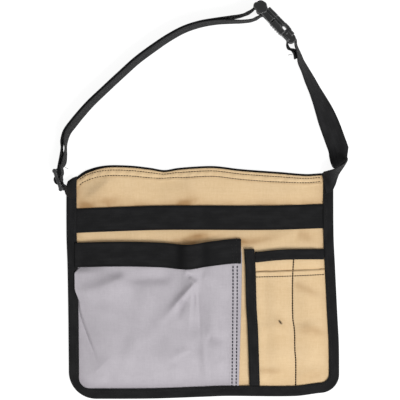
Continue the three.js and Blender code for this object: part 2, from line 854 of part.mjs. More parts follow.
const greyPocketBand = sheet(
  stripRows(
    leftEdge(18) + BINDING_WIDTH + 0.8,
    lookup(GREY_RIGHT, "y", "x", 40),
    (x) => lookup(GREY_TOP, "x", "y", x),
    BAND_WIDTH,
    crowded(26, 0),
  ),
  (x, y) => greyUnder(x, y) + CANVAS + 2 * GAP,
  TAPE,
);

const toolPocket = sheet(
  panelRows({
    left: (y) => lookup(TOOL_LEFT, "y", "x", y) + SEAM_MARGIN,
    right: rightEdge,
    top: (x) => lookup(TOOL_TOP, "x", "y", x) - SEAM_MARGIN,
    boundLeft: false,
    boundRight: true,
    columns: crowded(22, 0),
    cornerRows: 5,
    bodyRows: 12,
  }),
  toolPocketUnder,
  CANVAS,
);

const PIECES = [
  { name: "back_panel", geometry: backPanel, colour: COLOURS.tan },
  { name: "back_top_binding", geometry: backTopBinding(), colour: COLOURS.black },
  { name: "front_panel", geometry: frontPanel, colour: COLOURS.tan },
  { name: "tool_band", geometry: toolBand, colour: COLOURS.black },
  { name: "grey_pocket", geometry: greyPocket, colour: COLOURS.grey },
  { name: "grey_pocket_band", geometry: greyPocketBand, colour: COLOURS.black },
  { name: "tool_pocket", geometry: toolPocket, colour: COLOURS.tan },
  { name: "tool_pocket_top_binding", geometry: toolPocketTopBinding(), colour: COLOURS.black },
  { name: "tool_pocket_side_binding", geometry: toolPocketSideBinding(), colour: COLOURS.black },
  { name: "edge_binding", geometry: edgeBinding(), colour: COLOURS.black },
  { name: "waist_strap", geometry: waistStrap(), colour: COLOURS.black },
  { name: "tri_glide", geometry: triGlide(), colour: COLOURS.plastic },
  { name: "buckle_male", geometry: buckleMale(), colour: COLOURS.plastic },
  { name: "buckle_female", geometry: buckleFemale(), colour: COLOURS.plastic },
  { name: "short_strap", geometry: shortStrap(), colour: COLOURS.black },
];

const bag = new THREE.Group();
bag.name = "waist_tool_bag";
for (const { name, geometry, colour } of PIECES) {
  const material = new THREE.MeshStandardMaterial({ color: colour, roughness: 0.9 });
  const mesh = new THREE.Mesh(geometry, material);
  mesh.name = name;
  bag.add(mesh);
}

export default bag;
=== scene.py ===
import math

import bpy
import numpy as np
from mathutils import Matrix, Vector


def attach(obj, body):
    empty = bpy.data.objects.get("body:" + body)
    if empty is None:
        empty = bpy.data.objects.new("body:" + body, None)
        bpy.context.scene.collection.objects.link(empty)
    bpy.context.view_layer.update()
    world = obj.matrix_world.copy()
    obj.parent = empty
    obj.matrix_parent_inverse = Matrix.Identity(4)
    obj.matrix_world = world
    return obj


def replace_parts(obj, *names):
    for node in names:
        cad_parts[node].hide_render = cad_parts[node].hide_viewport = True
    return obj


# A worn waist tool bag on its back, its strap standing on edge above the mouth.
# Tables are in millimetres, in the frame of the solids: +X right, +Y to the mouth, +Z up.
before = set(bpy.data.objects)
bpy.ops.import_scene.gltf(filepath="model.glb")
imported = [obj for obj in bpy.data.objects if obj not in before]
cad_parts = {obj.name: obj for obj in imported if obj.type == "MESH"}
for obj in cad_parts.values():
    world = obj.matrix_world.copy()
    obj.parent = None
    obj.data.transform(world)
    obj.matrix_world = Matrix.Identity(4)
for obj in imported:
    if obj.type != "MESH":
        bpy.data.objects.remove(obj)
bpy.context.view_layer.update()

MM = 0.001


def table(columns, *rows):
    """Columns of numbers, by name."""
    return dict(zip(columns.split(), np.array(rows, float).T))


# Cloth thicknesses, clearances and strip widths
CANVAS = 1.0
HEM = 1.6
GREY_HEM = 1.45
TAPE = 1.2
WEBBING = 1.4
GAP = 0.35
TAPE_GAP = 0.35
POCKET_LEG = {"extra": 0.3, "room": 20, "fade": 6}
STRAP_WIDTH = 25
LEAST_SQUARENESS = 0.95
BAND_WIDTH = 30
BAND_TRIM = 0.6
BAND_LEVEL = {"tool": 78, "grey": 18}
BINDING_WIDTH = 12.5
TOP_BINDING_DEPTH = 11
MOUTH_TAPE = {"right_level": 130.0, "left_level": 125.0, "end_gap": 0.7}
SIDE_TAPE = {"top": 40.8, "foot": 66.0, "end_gap": 1}
TOP_TAPE = {"right_level": 36.0, "right_gap": 0.9, "left_level": 25.0, "left_gap": 0.6}
FOLD_RADIUS = {"edge": 2.4, "mouth": 1.9, "pocket": 1.8}
RIM_REACH = 0.42

# Heights of the layers where they are sewn together at the bag's edge
BACK_SEAM = TAPE + GAP
FRONT_SEAM = BACK_SEAM + CANVAS + GAP
OUTER_SEAM = FRONT_SEAM + CANVAS + GAP
BINDING_HEIGHT = 7.1
BINDING_RIPPLE = {"height": 0.12, "length": 1.6, "swing": 1.5, "drift": 17}
BINDING_LIP = {"least": BINDING_HEIGHT - 1.6, "clearance": 0.3 + TAPE, "flat": 3, "slope": 9.5, "soften": 9}
CORNER_LIFT = {"height": TAPE + GAP, "start": 95, "reach": 20}
SEAM_MARGIN = TAPE + 0.8
CORNER_TRIM = 3.4
BACK_MARGIN = 4
BACK_TOP_GAP = 1.5
BACK_RAMP = {"sides": 18, "top": 35}

# Outline of the bag
CORNERS = {"left": 34, "right": 22}
CORNER_TOPS = {"left": -112.0, "right": -116.0}
BINDING_ENDS = {"left": 120, "right": 134.4, "left_skew": 0.85, "skew_start": 90, "skew_reach": 30}
HEM_DROP = {"depth": 3.3, "left_extra": 1.6, "left_place": 20, "left_reach": 24}
SIDES = table(
    "y left right",
    (-146, -166.2, 171.4),
    (-80, -166.8, 171.2),
    (-40, -167.2, 169.2),
    (20, -168.2, 166.3),
    (60, -169.5, 164.5),
    (140, -169.5, 164.2),
)
BOTTOM = table(
    "x y",
    (-170, -146), (-65, -145.8), (0, -143.6), (30, -142.5),
    (116, -142.6), (147, -138.8), (172, -137.2),
)
TOP = table(
    "x y",
    (-172, 121), (-158, 130.5), (-145, 139.4), (-122, 145.5), (-90, 145.5),
    (-65, 142.8), (-47, 140), (-30, 142.6), (0, 144.8), (18, 144.8),
    (48, 141.2), (98, 137.5), (130, 135), (150, 136), (172, 136),
)

# How far the front stands above its seam, and how its mouth waves
FRONT_RAMP = 40
FRONT_RISE = table("y rise", (-146, 2.6), (-60, 3.4), (40, 3.4), (78, 3.1), (112, 4.2), (150, 4.6))
MOUTH_DEPTH = 38
FRONT_FREE = {"between": 56, "between_reach": 8, "above": 96, "above_reach": 14}
MOUTH_WAVE = table(
    "x lift", (-160, 0), (-112, 1.5), (-47, -1.6), (10, 1.7), (62, 0.4), (125, -0.5), (160, 0)
)

# Hem: for each row of stitches its depth below the mouth, how much less that is towards the right and
# in the dip of the mouth, and how deep and wide the stitches sink
HEM_ROWS = table("depth right dip sink width", (6.2, 0.8, 1.0, 0.6, 0.9), (13.0, 2.6, 2.8, 0.8, 1.0))
HEM_RIGHT = {"start": 80, "reach": 70}
HEM_DIP = {"x": -45, "reach": 15}
HEM_EDGE = {"depth": 15.0, "reach": 1.5}
PUCKER = {"height": 0.3, "length": 1.9, "swing": 2, "drift": 23, "slant": 0.35, "depth": 9.5, "reach": 5}

# Tool band across the front; its upper edge lies closer to the front than its lower one
TOOL_BAND = {"rise": 5.4, "tilt": 1.3, "ramp": 50, "clearance": 0.1, "wave": 0.25, "wave_length": 31}
TOOL_BAND_TOP = table(
    "x y", (-170, 90.5), (-128, 92.5), (-46, 95), (85, 95), (148, 96.9), (172, 97)
)

# Grey pocket: swell, the ease of its mouth, its sewn right edge and the standing fold in its mouth
GREY_SWELL = 4.8
GREY_MOUTH_EASE = {"depth": 3.4, "reach": 20}
GREY_RAMP = 45
GREY_SEW_RAMP = 28
GREY_SEW = 12
GREY_FOLD = {"x": -17, "height": 3.4, "left": 8, "right": 15, "fade": 55}
GREY_TOP = table(
    "x y", (-170, 48.6), (-100, 50), (-50, 48.8), (-18, 46.2), (8, 50), (40, 53.6), (52, 53.4)
)
GREY_RIGHT = table("y x", (-146, 45.2), (22, 49.4), (54, 47))
GREY_BAND = {"clearance": 0.7, "end_lift": 1.5, "lift_reach": 7, "under_binding": 3.0, "right_at": 40.0}
SEAM_ROWS = (10.6, 5.4)
SEAM_SLANT = {"slope": 0.0165, "top": 15}
SEAM_SINK = {"pocket": 0.4, "band": 0.25, "width": 0.9}

# Left edge of the grey pocket: it swells over the binding here, lifting and leaning out, and has one pleat
BULGE = {"y": -6, "reach": 17, "top": 21, "fade": 11, "right": -100}
BULGE_FORM = table("most start rise end fall", (3.8, 12.9, 1.6, 22, 34), (8.6, 14.3, 3, 18, 22))
PLEAT = table("y x", (-112, -126), (-89, -134), (-66, -143), (-39, -152.5), (-22, -156))
PLEAT_FORM = {"depth": 1.5, "step": 2.2, "groove": 2.0, "back": 16, "low": -104, "low_fade": 44, "high": -20}

# Tool pocket: side binding, mouth line, the line of stitches that splits it, and its tuck
TOOL_SWELL = 2.2
TOOL_FADE = 45
TOOL_MOUTH_EASE = {"depth": 1.8, "start": -10, "reach": 50}
TOOL_LIFT = {"side": 12, "mouth": 14, "corner": 16, "margin": 1.5}
TOOL_LEFT = table("y x", (-146, 59.8), (-60, 57), (-30, 55.2), (15, 54), (41, 52.5))
TOOL_TOP = table("x y", (50, 37), (68, 37.6), (91, 40), (115, 41.2), (172, 41.2))
TOOL_SPLIT = table(
    "y x",
    (-146, 117), (-97, 117), (-86, 116), (-60, 115.4), (-45, 113.4),
    (-10, 112.9), (9, 113.2), (29, 114.3), (41, 114.6),
)
SPLIT_SINK = {"depth": 0.5, "width": 1.1}
TUCK = table("x y", (60, 12.3), (114, 13.8), (152, 15.6))
TUCK_STEP = {"height": 1.5, "below": 5.5, "share_above": 0.5, "above": 3.0}
TOOL_HEM = {"drop": 6.1, "sink": 0.35, "width": 0.9}
# Painted shadow line and painted shade along the tuck
TUCK_SHADING = {"mark": 0.5, "mark_above": 0.5, "mark_width": 0.6, "soil_above": 0.7, "soil_width": 1.0}
MARK = {"x": 97.6, "y": -50.0, "half_length": 3.3, "half_width": 1.2, "bearing": -52}
MARK_EDGE = {"strength": 0.95, "end": 1.25, "fade": 0.5, "halo_length": 9, "halo_width": 5}

# Slider and buckle: place, bearing of the length axis, lean outwards
GLIDE = {"x": -177.9, "y": 127.8, "z": 17.3, "bearing": 109, "lean": 6}
GLIDE_SIZE = {
    "length": 24, "width": 32, "thickness": 3.8, "middle": 3.0, "slot": 7.3, "slot_width": 25.8,
    "knob": 2.7, "bar_trim": 0.8, "bar_extra": 0.1, "bar_flatten": 0.94,
}
BUCKLE = {"x": 95.2, "y": 319, "z": 17.6, "bearing": -46, "lean": -1}

# Long strap: corner, slider, doubled stretch, buckle, and back to the slider
STRAP_CORNER = table(
    "x y z lean towards",
    (-157.2, 118.6, 8.3, 90, 268),
    (-160.2, 117.6, 9.2, 86, 268),
    (-164.4, 117.0, 13.3, 62, 266),
    (-168.4, 118.0, 17.0, 36, 262),
)
STRAP_WEAVE = table(
    "along across",
    (-10.6, -4.6), (-8.4, -3.2), (-5.9, 0), (-5.0, 1.9), (-3.4, 3.75), (-1.3, 4.6),
    (1.3, 4.6), (3.4, 3.75), (5.0, 1.9), (5.9, 0), (8.2, -2.7), (11.0, -3.3),
)
ARCH_INSET = 1.7
STRAP_ARCH = table(
    "x y z lean apart",
    (-177.8, 148.5, 16.0, 11, 3.6),
    (-176.6, 158.5, 14.2, 8, 4.2),
    (-176.4, 167.5, 13.4, 3, 4.8),
    (-175.6, 176.3, 13.3, 9, 3.8),
    (-171.3, 188.0, 13.3, 15, 2.4),
    (-163.0, 199.4, 13.3, 17, 2.0),
    (-143.5, 222.3, 13.3, 16, 1.9),
    (-123.5, 241.6, 13.4, 15, 1.9),
    (-103.5, 260.2, 13.4, 15, 1.9),
    (-83.6, 278.2, 13.4, 15, 1.9),
    (-63.6, 293.2, 13.4, 15, 1.9),
    (-43.6, 306.8, 13.4, 14, 1.9),
    (-23.0, 317.9, 13.5, 13, 1.9),
    (-2.5, 324.6, 13.7, 12, 1.9),
    (17.4, 328.4, 14.3, 10, 2.6),
    (36.0, 331.4, 15.4, 8, 5.0),
)
# Where the strap passes a hard piece: place by the axes of the piece, and how far its top tips sideways
STRAP_TURN = table(
    "along across tip",
    (-41.0, -23.2, 6), (-37.4, -13.3, 6), (-36.9, -6.4, 4), (-38.8, -2.0, 0), (-39.4, 2.0, 0),
    (-38.0, 5.6, 0), (-34.6, 7.4, 0), (-30.4, 6.8, 0), (-26.6, 5.2, 0), (-23.4, 3.9, 0),
    (-21.1, 2.8, 0), (-20.3, 0, 0), (-21.4, -3.4, 0), (-24.6, -7.4, 4), (-25.6, -11.5, 6),
    (-28.2, -18.6, 6), (-35.6, -28.5, 7),
)
STRAND_SIDE = (-0.34, 0.94, 0.0)
STRAP_END = table(
    "along across",
    (11.2, -5.2), (7.0, -4.0), (4.4, -1.1), (2.9, 0.8), (2.1, 2.4), (0, 2.8), (-2.1, 2.4),
    (-2.8, 0), (-2.1, -2.4), (0, -2.9), (2.6, -3.7), (5.6, -6.0), (10.5, -7.2), (18, -7.6),
)

# Short strap: corner, one turn over, and round the bar of the socket half
SHORT_CORNER = table(
    "x y z lean towards",
    (152.6, 123.2, 8.4, 90, 102),
    (156.0, 124.8, 9.4, 85, 111),
    (160.4, 129.2, 15.2, 54, 120),
    (168.0, 137.9, 15.5, 21, 131),
    (178.0, 147.6, 13.5, 6, 160),
    (181.2, 152.6, 13.2, 3, 190),
    (178.2, 150.6, 12.0, 24, 218),
    (173.4, 149.6, 7.8, 59, 222),
    (171.6, 156.8, 3.6, 80, 213),
    (170.6, 165.5, 2.8, 85, 202),
    (166.4, 177.5, 2.8, 85, 199),
    (161.9, 190, 3.2, 84, 201),
    (157.2, 202.2, 4.2, 76, 203),
    (152.2, 214.7, 6.6, 62, 205),
    (146.6, 227.2, 9.4, 48, 206),
    (140.5, 239.8, 11.6, 38, 207),
    (134.4, 252.2, 13.4, 33, 207),
    (128.4, 264.8, 15.2, 25, 207),
)
SHORT_LOOP = table(
    "along across tip",
    (51, -10.4, 20), (46, -7.6, 16), (41, -4.9, 12), (36, -2.6, 9), (31.3, -0.2, 8), (27, 3.7, 6),
    (22.6, 4.5, 3), (18.6, 3.3, 0), (17.0, 0, 0), (18.4, -3.6, 0), (21.8, -5.9, 3), (25.2, -8.8, 7),
    (29.4, -9.9, 10), (34.0, -7.4, 14), (39.0, -7.4, 18), (44.6, -10.6, 20),
)
LOOP_SIDE = (-0.89, -0.45, 0.0)

# Folds in the cloth: a line from one point to another, the height of its ridge (valleys below zero),
# and how far its flanks reach to the left and right of the way along it. Sharp ones are creased.
FOLD_COLUMNS = "x0 y0 x1 y1 height left right sharp"
FOLD_ENDS = {"overrun": 0.15, "start": 0.3, "tail": 0.75}
FRONT_FOLDS = table(
    FOLD_COLUMNS,
    (-112, 127, -152, 95, 2.0, 15, 7, 0),
    (-60, 132, -44, 100, -1.1, 12, 12, 0),
    (-8, 130, -30, 98, 0.9, 16, 12, 0),
    (44, 130, 30, 98, 0.8, 18, 14, 0),
    (110, 128, 118, 100, 0.7, 14, 16, 0),
    (-154, 94, -96, 103, 1.0, 8, 6, 0),
    (24, 61, -16, 50, -1.0, 4, 3, 0),
    (4, 62, -22, 57, -0.6, 3, 3, 0),
)
GREY_FOLDS = table(
    FOLD_COLUMNS,
    (-21, 15, -9, 10, 1.5, 1.6, 2.4, 1),
    (-19, 10, -12, 7, -1.1, 1.6, 1.6, 1),
    (-15, 5, -4, -5, 1.9, 2.0, 2.2, 1),
    (-8, 0, -40, -36, 4.6, 3.2, 6.0, 1),
    (-24, -18, -54, -52, 1.8, 5.0, 7.0, 0),
    (-12, -2, -17, -60, 2.8, 3.2, 7.0, 1),
    (-5, -6, -1, -86, -2.6, 6.0, 4.0, 1),
    (14, -34, 24, -128, 2.4, 7.0, 10.0, 0),
    (-3, -60, 6, -136, 1.9, 5.0, 8.0, 0),
    (2, 8, 22, 2, 1.2, 8.0, 6.0, 0),
    (-94, 5, -158, -19, 4.2, 15.0, 8.0, 0),
    (-40, 7, -100, 4, -2.0, 7.0, 9.0, 0),
    (-64, -10, -84, -40, 0.9, 12.0, 14.0, 0),
    (-78, -62, -100, -104, 1.1, 14.0, 11.0, 0),
    (-16, -84, -42, -96, 1.3, 4.0, 7.0, 0),
    (-22, -20, -31, -48, -1.8, 4.0, 4.0, 0),
    (-9, -13, -9, -42, -1.2, 1.8, 1.8, 1),
    (8, -70, 28, -78, -1.6, 7.0, 8.0, 0),
    (-4, -72, 3, -134, -1.5, 5.0, 7.0, 0),
    (-34, -104, -26, -134, 1.1, 6.0, 8.0, 0),
    (-60, -112, -72, -138, 0.8, 7.0, 9.0, 0),
    (-118, -116, -142, -134, 1.2, 7.0, 6.0, 0),
    (30, -96, 8, -112, 1.0, 6.0, 6.0, 0),
)
TOOL_FOLDS = table(
    FOLD_COLUMNS,
    (70, -58, 112, -56, 0.9, 7, 12, 0),
    (118, -60, 158, -52, 1.4, 7, 12, 0),
    (74, -112, 114, -110, 0.9, 7, 12, 0),
    (120, -118, 158, -108, 1.3, 7, 12, 0),
    (92, -46, 107, -54, 0.3, 5, 5, 0),
)
FRONT_RUMPLE = 0.3
GREY_RUMPLE = 0.5
TOOL_RUMPLE = 0.16

# Darker streaks, as lines with a strength in place of a height: painted shade in the folds of the pockets and
# above the front's bands, and darker brown streaks in the strip between the bands
FRONT_SHADE_STREAKS = table(
    FOLD_COLUMNS,
    (40, 46, 106, 60, 0.6, 6, 5, 0),
    (-34, 51, 30, 60, 0.55, 5, 5, 0),
    (-30, 98, 4, 100, 0.4, 6, 5, 0),
    (-158, 96, -92, 102, 0.45, 6, 8, 0),
    (120, 60, 146, 54, 0.45, 8, 8, 0),
)
GREY_SHADE_STREAKS = table(
    FOLD_COLUMNS,
    (-100, 9, -142, 0, 0.34, 4, 6, 0),
    (-40, 0, -102, -1, 0.22, 5, 5, 0),
    (-17, -4, -50, -45, 0.34, 5, 3, 0),
    (-24, -22, -31, -46, 0.28, 3, 3, 0),
    (8, -70, 28, -78, 0.3, 6, 6, 0),
    (-3, -76, 2, -132, 0.16, 4, 4, 0),
    (-9, -14, -9, -40, 0.26, 1.5, 1.5, 0),
)
TOOL_SHADE_STREAKS = table(
    FOLD_COLUMNS,
    (116, -2, 154, -20, 0.35, 5, 6, 0),
    (124, -57, 158, -66, 0.5, 6, 8, 0),
    (124, -119, 156, -113, 0.45, 5, 6, 0),
    (72, -110, 110, -112, 0.35, 4, 5, 0),
)
# Strength of the dirt at seams, the dark lines at band and strap edges and along the hem, the stain's halo,
# and the painted shade above the bands, in the upper left corner, at the tool pocket's tuck and in the grey
# band's fold, from 0 to 1
DIRT_AND_SHADE = {
    "back_seam": 0.3, "front_seam": 0.3, "tool_band": 0.7, "shade_patch": 0.2, "grey_band": 0.36, "painted_light_patch": 0.6,
    "corner": 0.12, "hem": 0.3, "most": 0.8, "grey_seam": 0.3, "grey_edge": 0.2, "tool_seam": 0.12,
    "tuck": 0.9, "round_mark": 0.25, "band_edge": 0.8, "strap_edge": 0.7, "fold_left": 0.9, "fold_right": 0.5,
}
# How far the painted shade above the two bands reaches, with what its patches add to that, where it ends at
# the right, and how the darker lines lie along the rows of the hem
SHADE_AND_HEM_REACH = {
    "tool": 6, "shade_patch": 4, "left": 6, "grey": 4, "painted_light_patch": 9, "under": 4, "right_end": 60, "right_fade": 12,
    "hem_drop": 1.4, "hem_lower": 1.2, "hem_upper": 1.3,
}
# Centre and reach of the patches of painted shade, along x, and along y for the corner's height
SHADE_PLACES = {
    "shade_patch": (-16, 14), "painted_light_patch": (-6, 24), "left": (-125, 32), "corner_x": (-158, 20),
    "corner_y": (106, 16), "fold_left": (-27, 6), "fold_right": (5, 5),
}


# Number helpers
def ease(value, start, reach):
    """From 0 to 1, smoothly, over a reach from a start."""
    t = np.clip((value - start) / reach, 0, 1)
    return t * t * (3 - 2 * t)


def hump(value, centre, reach):
    """1 at a centre, falling away over a reach to both sides."""
    t = (value - centre) / reach
    return np.exp(-t * t)


def differences(values):
    """Difference between the neighbours of each value; an end has one neighbour."""
    padded = np.concatenate([values[:1], values, values[-1:]])
    return padded[2:] - padded[:-2]


def curve(rows, key, column):
    """A smooth curve through the rows of a table, as a function of one of its columns."""
    keys, values = rows[key], rows[column]
    slopes = differences(values) / differences(keys)

    def value(at):
        at = np.clip(at, keys[0], keys[-1])
        i = np.clip(np.searchsorted(keys, at) - 1, 0, len(keys) - 2)
        span, rise = keys[i + 1] - keys[i], values[i + 1] - values[i]
        t = (at - keys[i]) / span
        start, end = slopes[i] * span, slopes[i + 1] * span
        bend, twist = 3 * rise - 2 * start - end, start + end - 2 * rise
        return values[i] + t * (start + t * (bend + t * twist))

    return value


def folds(rows, x, y):
    """Height of a table of folds at plan points."""
    total = np.zeros_like(x)
    for x0, y0, x1, y1, height, left, right, sharp in zip(*rows.values()):
        length = math.hypot(x1 - x0, y1 - y0)
        run_x, run_y = (x1 - x0) / length, (y1 - y0) / length
        forward = ((x - x0) * run_x + (y - y0) * run_y) / length
        aside = (y - y0) * run_x - (x - x0) * run_y
        aside = np.where(aside > 0, aside / left, -aside / right)
        begin = ease(forward, -FOLD_ENDS["overrun"], FOLD_ENDS["start"])
        finish = ease(1 + FOLD_ENDS["overrun"] - forward, 0, FOLD_ENDS["tail"])
        total += height * begin * finish * np.exp(-aside if sharp else -aside * aside)
    return total


def wavering(place, length, swing, drift):
    """A wave whose phase swings with a slower drift."""
    return np.sin(place / length + swing * np.sin(drift))


def rumple(x, y, height):
    """Shallow, uneven dents all over a washed cloth."""
    wide = wavering(x, 10.7, 1.9, y / 19) * wavering(y, 12.9, 1.6, x / 23)
    fine = wavering(x + 0.6 * y, 5.9, 2.1, (x - y) / 31) * np.sin((y - 0.4 * x) / 7.3 + 1.4)
    return height * (wide + 0.45 * fine)


# Outline of the bag and the lines on it
left_edge = curve(SIDES, "y", "left")
right_edge = curve(SIDES, "y", "right")
bottom_edge = curve(BOTTOM, "x", "y")
top_edge = curve(TOP, "x", "y")
front_rise = curve(FRONT_RISE, "y", "rise")
mouth_wave = curve(MOUTH_WAVE, "x", "lift")
tool_line = curve(TOOL_BAND_TOP, "x", "y")
grey_line = curve(GREY_TOP, "x", "y")
grey_right = curve(GREY_RIGHT, "y", "x")
pleat_line = curve(PLEAT, "y", "x")
tool_left = curve(TOOL_LEFT, "y", "x")
tool_mouth = curve(TOOL_TOP, "x", "y")
tool_split = curve(TOOL_SPLIT, "y", "x")
tuck_line = curve(TUCK, "x", "y")


def edge_distance(x, y):
    """Distance in from the bound edge, round the two bottom corners as well."""
    side = np.minimum(x - left_edge(y), right_edge(y) - x)
    bottom = y - bottom_edge(x)
    radius = np.where(x < 0, CORNERS["left"], CORNERS["right"])
    corner = (side < radius) & (bottom < radius)
    rounded = radius - np.hypot(radius - side, radius - bottom)
    return np.where(corner, rounded, np.minimum(side, bottom))


def inner(x, y):
    """Distance in from the lip of the edge binding."""
    return edge_distance(x, y) - BINDING_WIDTH


def hem_line(x):
    """Upper edge of the front, which lies below the mouth tape's fold."""
    left = hump(x, left_edge(130.0) + HEM_DROP["left_place"], HEM_DROP["left_reach"])
    return top_edge(x) - HEM_DROP["depth"] - HEM_DROP["left_extra"] * left


def hem_rows(x):
    """Depth below the mouth of the two rows of stitches along the hem."""
    right = ease(x, HEM_RIGHT["start"], HEM_RIGHT["reach"])
    dip = hump(x, HEM_DIP["x"], HEM_DIP["reach"])
    rows = zip(HEM_ROWS["depth"], HEM_ROWS["right"], HEM_ROWS["dip"])
    return [depth - less_right * right - less_dip * dip for depth, less_right, less_dip in rows]


# Underside heights of the cloth layers, and the fine relief on them
def back_under(x, y):
    sides = ease(inner(x, y), BACK_MARGIN, BACK_RAMP["sides"])
    top = ease(top_edge(x) - y, TOP_BINDING_DEPTH + BACK_MARGIN, BACK_RAMP["top"])
    return BACK_SEAM * (1 - sides * top)


def front_under(x, y):
    seam = FRONT_SEAM + CORNER_LIFT["height"] * ease(y, CORNER_LIFT["start"], CORNER_LIFT["reach"])
    wave = mouth_wave(x) * hump(top_edge(x) - y, 0, MOUTH_DEPTH)
    return seam + (front_rise(y) + wave) * ease(inner(x, y), 0, FRONT_RAMP)


def front_face(x, y):
    return front_under(x, y) + CANVAS


def front_relief(x, y):
    depth = top_edge(x) - y
    sewn = PUCKER["height"] * hump(depth, PUCKER["depth"], PUCKER["reach"]) * np.sin(
        x / PUCKER["length"] + PUCKER["swing"] * np.sin(x / PUCKER["drift"]) + PUCKER["slant"] * depth
    )
    for row, sink, width in zip(hem_rows(x), HEM_ROWS["sink"], HEM_ROWS["width"]):
        sewn = sewn - sink * hump(depth, row, width)
    between_bands = hump(y, FRONT_FREE["between"], FRONT_FREE["between_reach"])
    above_bands = ease(y, FRONT_FREE["above"], FRONT_FREE["above_reach"])
    dents = folds(FRONT_FOLDS, x, y) * np.maximum(above_bands, between_bands)
    dents = dents + rumple(x, y, FRONT_RUMPLE)
    return sewn * ease(inner(x, y), 0, 4) + dents * ease(inner(x, y), 2, 16)


def tool_band_under(x, y):
    tilt = TOOL_BAND["tilt"] * ease(1 - (tool_line(x) - y) / BAND_WIDTH, 0, 1)
    rise = (TOOL_BAND["rise"] - tilt) * ease(inner(x, y), 0, TOOL_BAND["ramp"])
    return OUTER_SEAM + TOOL_BAND["clearance"] + rise


def grey_under(x, y):
    sewn = ease(grey_right(y) - GREY_SEW - x, 0, GREY_SEW_RAMP)
    bound = ease(inner(x, y), 0, GREY_RAMP)
    drop = grey_line(x) - y
    eased = GREY_MOUTH_EASE["depth"] * hump(drop, 0, GREY_MOUTH_EASE["reach"])
    flank = np.where(x < GREY_FOLD["x"], GREY_FOLD["left"], GREY_FOLD["right"])
    fold = GREY_FOLD["height"] * hump(x, GREY_FOLD["x"], flank) * hump(drop, 0, GREY_FOLD["fade"])
    return front_face(x, y) + GAP + (GREY_SWELL - eased + fold) * bound * sewn


def grey_relief(x, y):
    free = ease(inner(x, y), 3, 14) * ease(grey_right(y) - GREY_SEW - x, 0, 10)
    free = free * ease(grey_line(x) - y, BAND_WIDTH - 6, 10)
    dents = folds(GREY_FOLDS, x, y) + rumple(x, y, GREY_RUMPLE)
    aside = x - pleat_line(y)
    run = ease(y, PLEAT_FORM["low"], PLEAT_FORM["low_fade"]) * ease(PLEAT_FORM["high"] - y, 0, 10)
    step = ease(aside, -PLEAT_FORM["step"] / 2, PLEAT_FORM["step"])
    step = step * hump(np.maximum(aside, 0), 0, PLEAT_FORM["back"])
    pleat = PLEAT_FORM["depth"] * run * (step - hump(aside, 0, PLEAT_FORM["groove"]))
    return dents * free + pleat * ease(inner(x, y), -1, 4)


def grey_face(x, y):
    return grey_under(x, y) + grey_relief(x, y) + CANVAS


def tool_pocket_under(x, y):
    start, split = tool_left(y) + BINDING_WIDTH + TOOL_LIFT["margin"], tool_split(y)
    end = right_edge(y) - BINDING_WIDTH - 1
    by_side = 1 - ease(x, start, TOOL_LIFT["side"])
    by_mouth = 1 - ease(tool_mouth(x) - y, BINDING_WIDTH + TOOL_LIFT["margin"], TOOL_LIFT["mouth"])
    lift = np.maximum(by_side, by_mouth) * ease(inner(x, y), 1, TOOL_LIFT["corner"])
    across = np.where(x < split, (x - start) / (split - start), (x - split) / (end - split))
    mouth = ease(y, TOOL_MOUTH_EASE["start"], TOOL_MOUTH_EASE["reach"])
    swell = (TOOL_SWELL - TOOL_MOUTH_EASE["depth"] * mouth) * ease(across, 0, 0.5) * ease(1 - across, 0, 0.5)
    fade = ease(y - bottom_edge(x), BINDING_WIDTH + 1, TOOL_FADE)
    return front_face(x, y) + GAP + (TAPE + TAPE_GAP) * lift + swell * fade


def tool_relief(x, y):
    below = tuck_line(x) - y
    upper_side = -TUCK_STEP["share_above"] * np.exp(below / TUCK_STEP["above"])
    step = TUCK_STEP["height"] * np.where(below > 0, np.exp(-below / TUCK_STEP["below"]), upper_side)
    sewn = TOOL_HEM["sink"] * hump(below, TOOL_HEM["drop"], TOOL_HEM["width"])
    split = SPLIT_SINK["depth"] * hump(x, tool_split(y), SPLIT_SINK["width"])
    dents = folds(TOOL_FOLDS, x, y) + rumple(x, y, TOOL_RUMPLE)
    room = ease(inner(x, y), 0, 5) * ease(x - tool_left(y), BINDING_WIDTH - 2, 5)
    return (step - sewn - split + dents) * room


def tool_face(x, y):
    return tool_pocket_under(x, y) + tool_relief(x, y) + CANVAS


# Finishes
FINISHES = {}


def linear(red, green, blue):
    """Linear colour from the 0 to 255 values of a picture."""
    values = np.array([red, green, blue]) / 255
    low = values / 12.92
    high = ((values + 0.055) / 1.055) ** 2.4
    return tuple(np.where(values <= 0.04045, low, high)) + (1.0,)


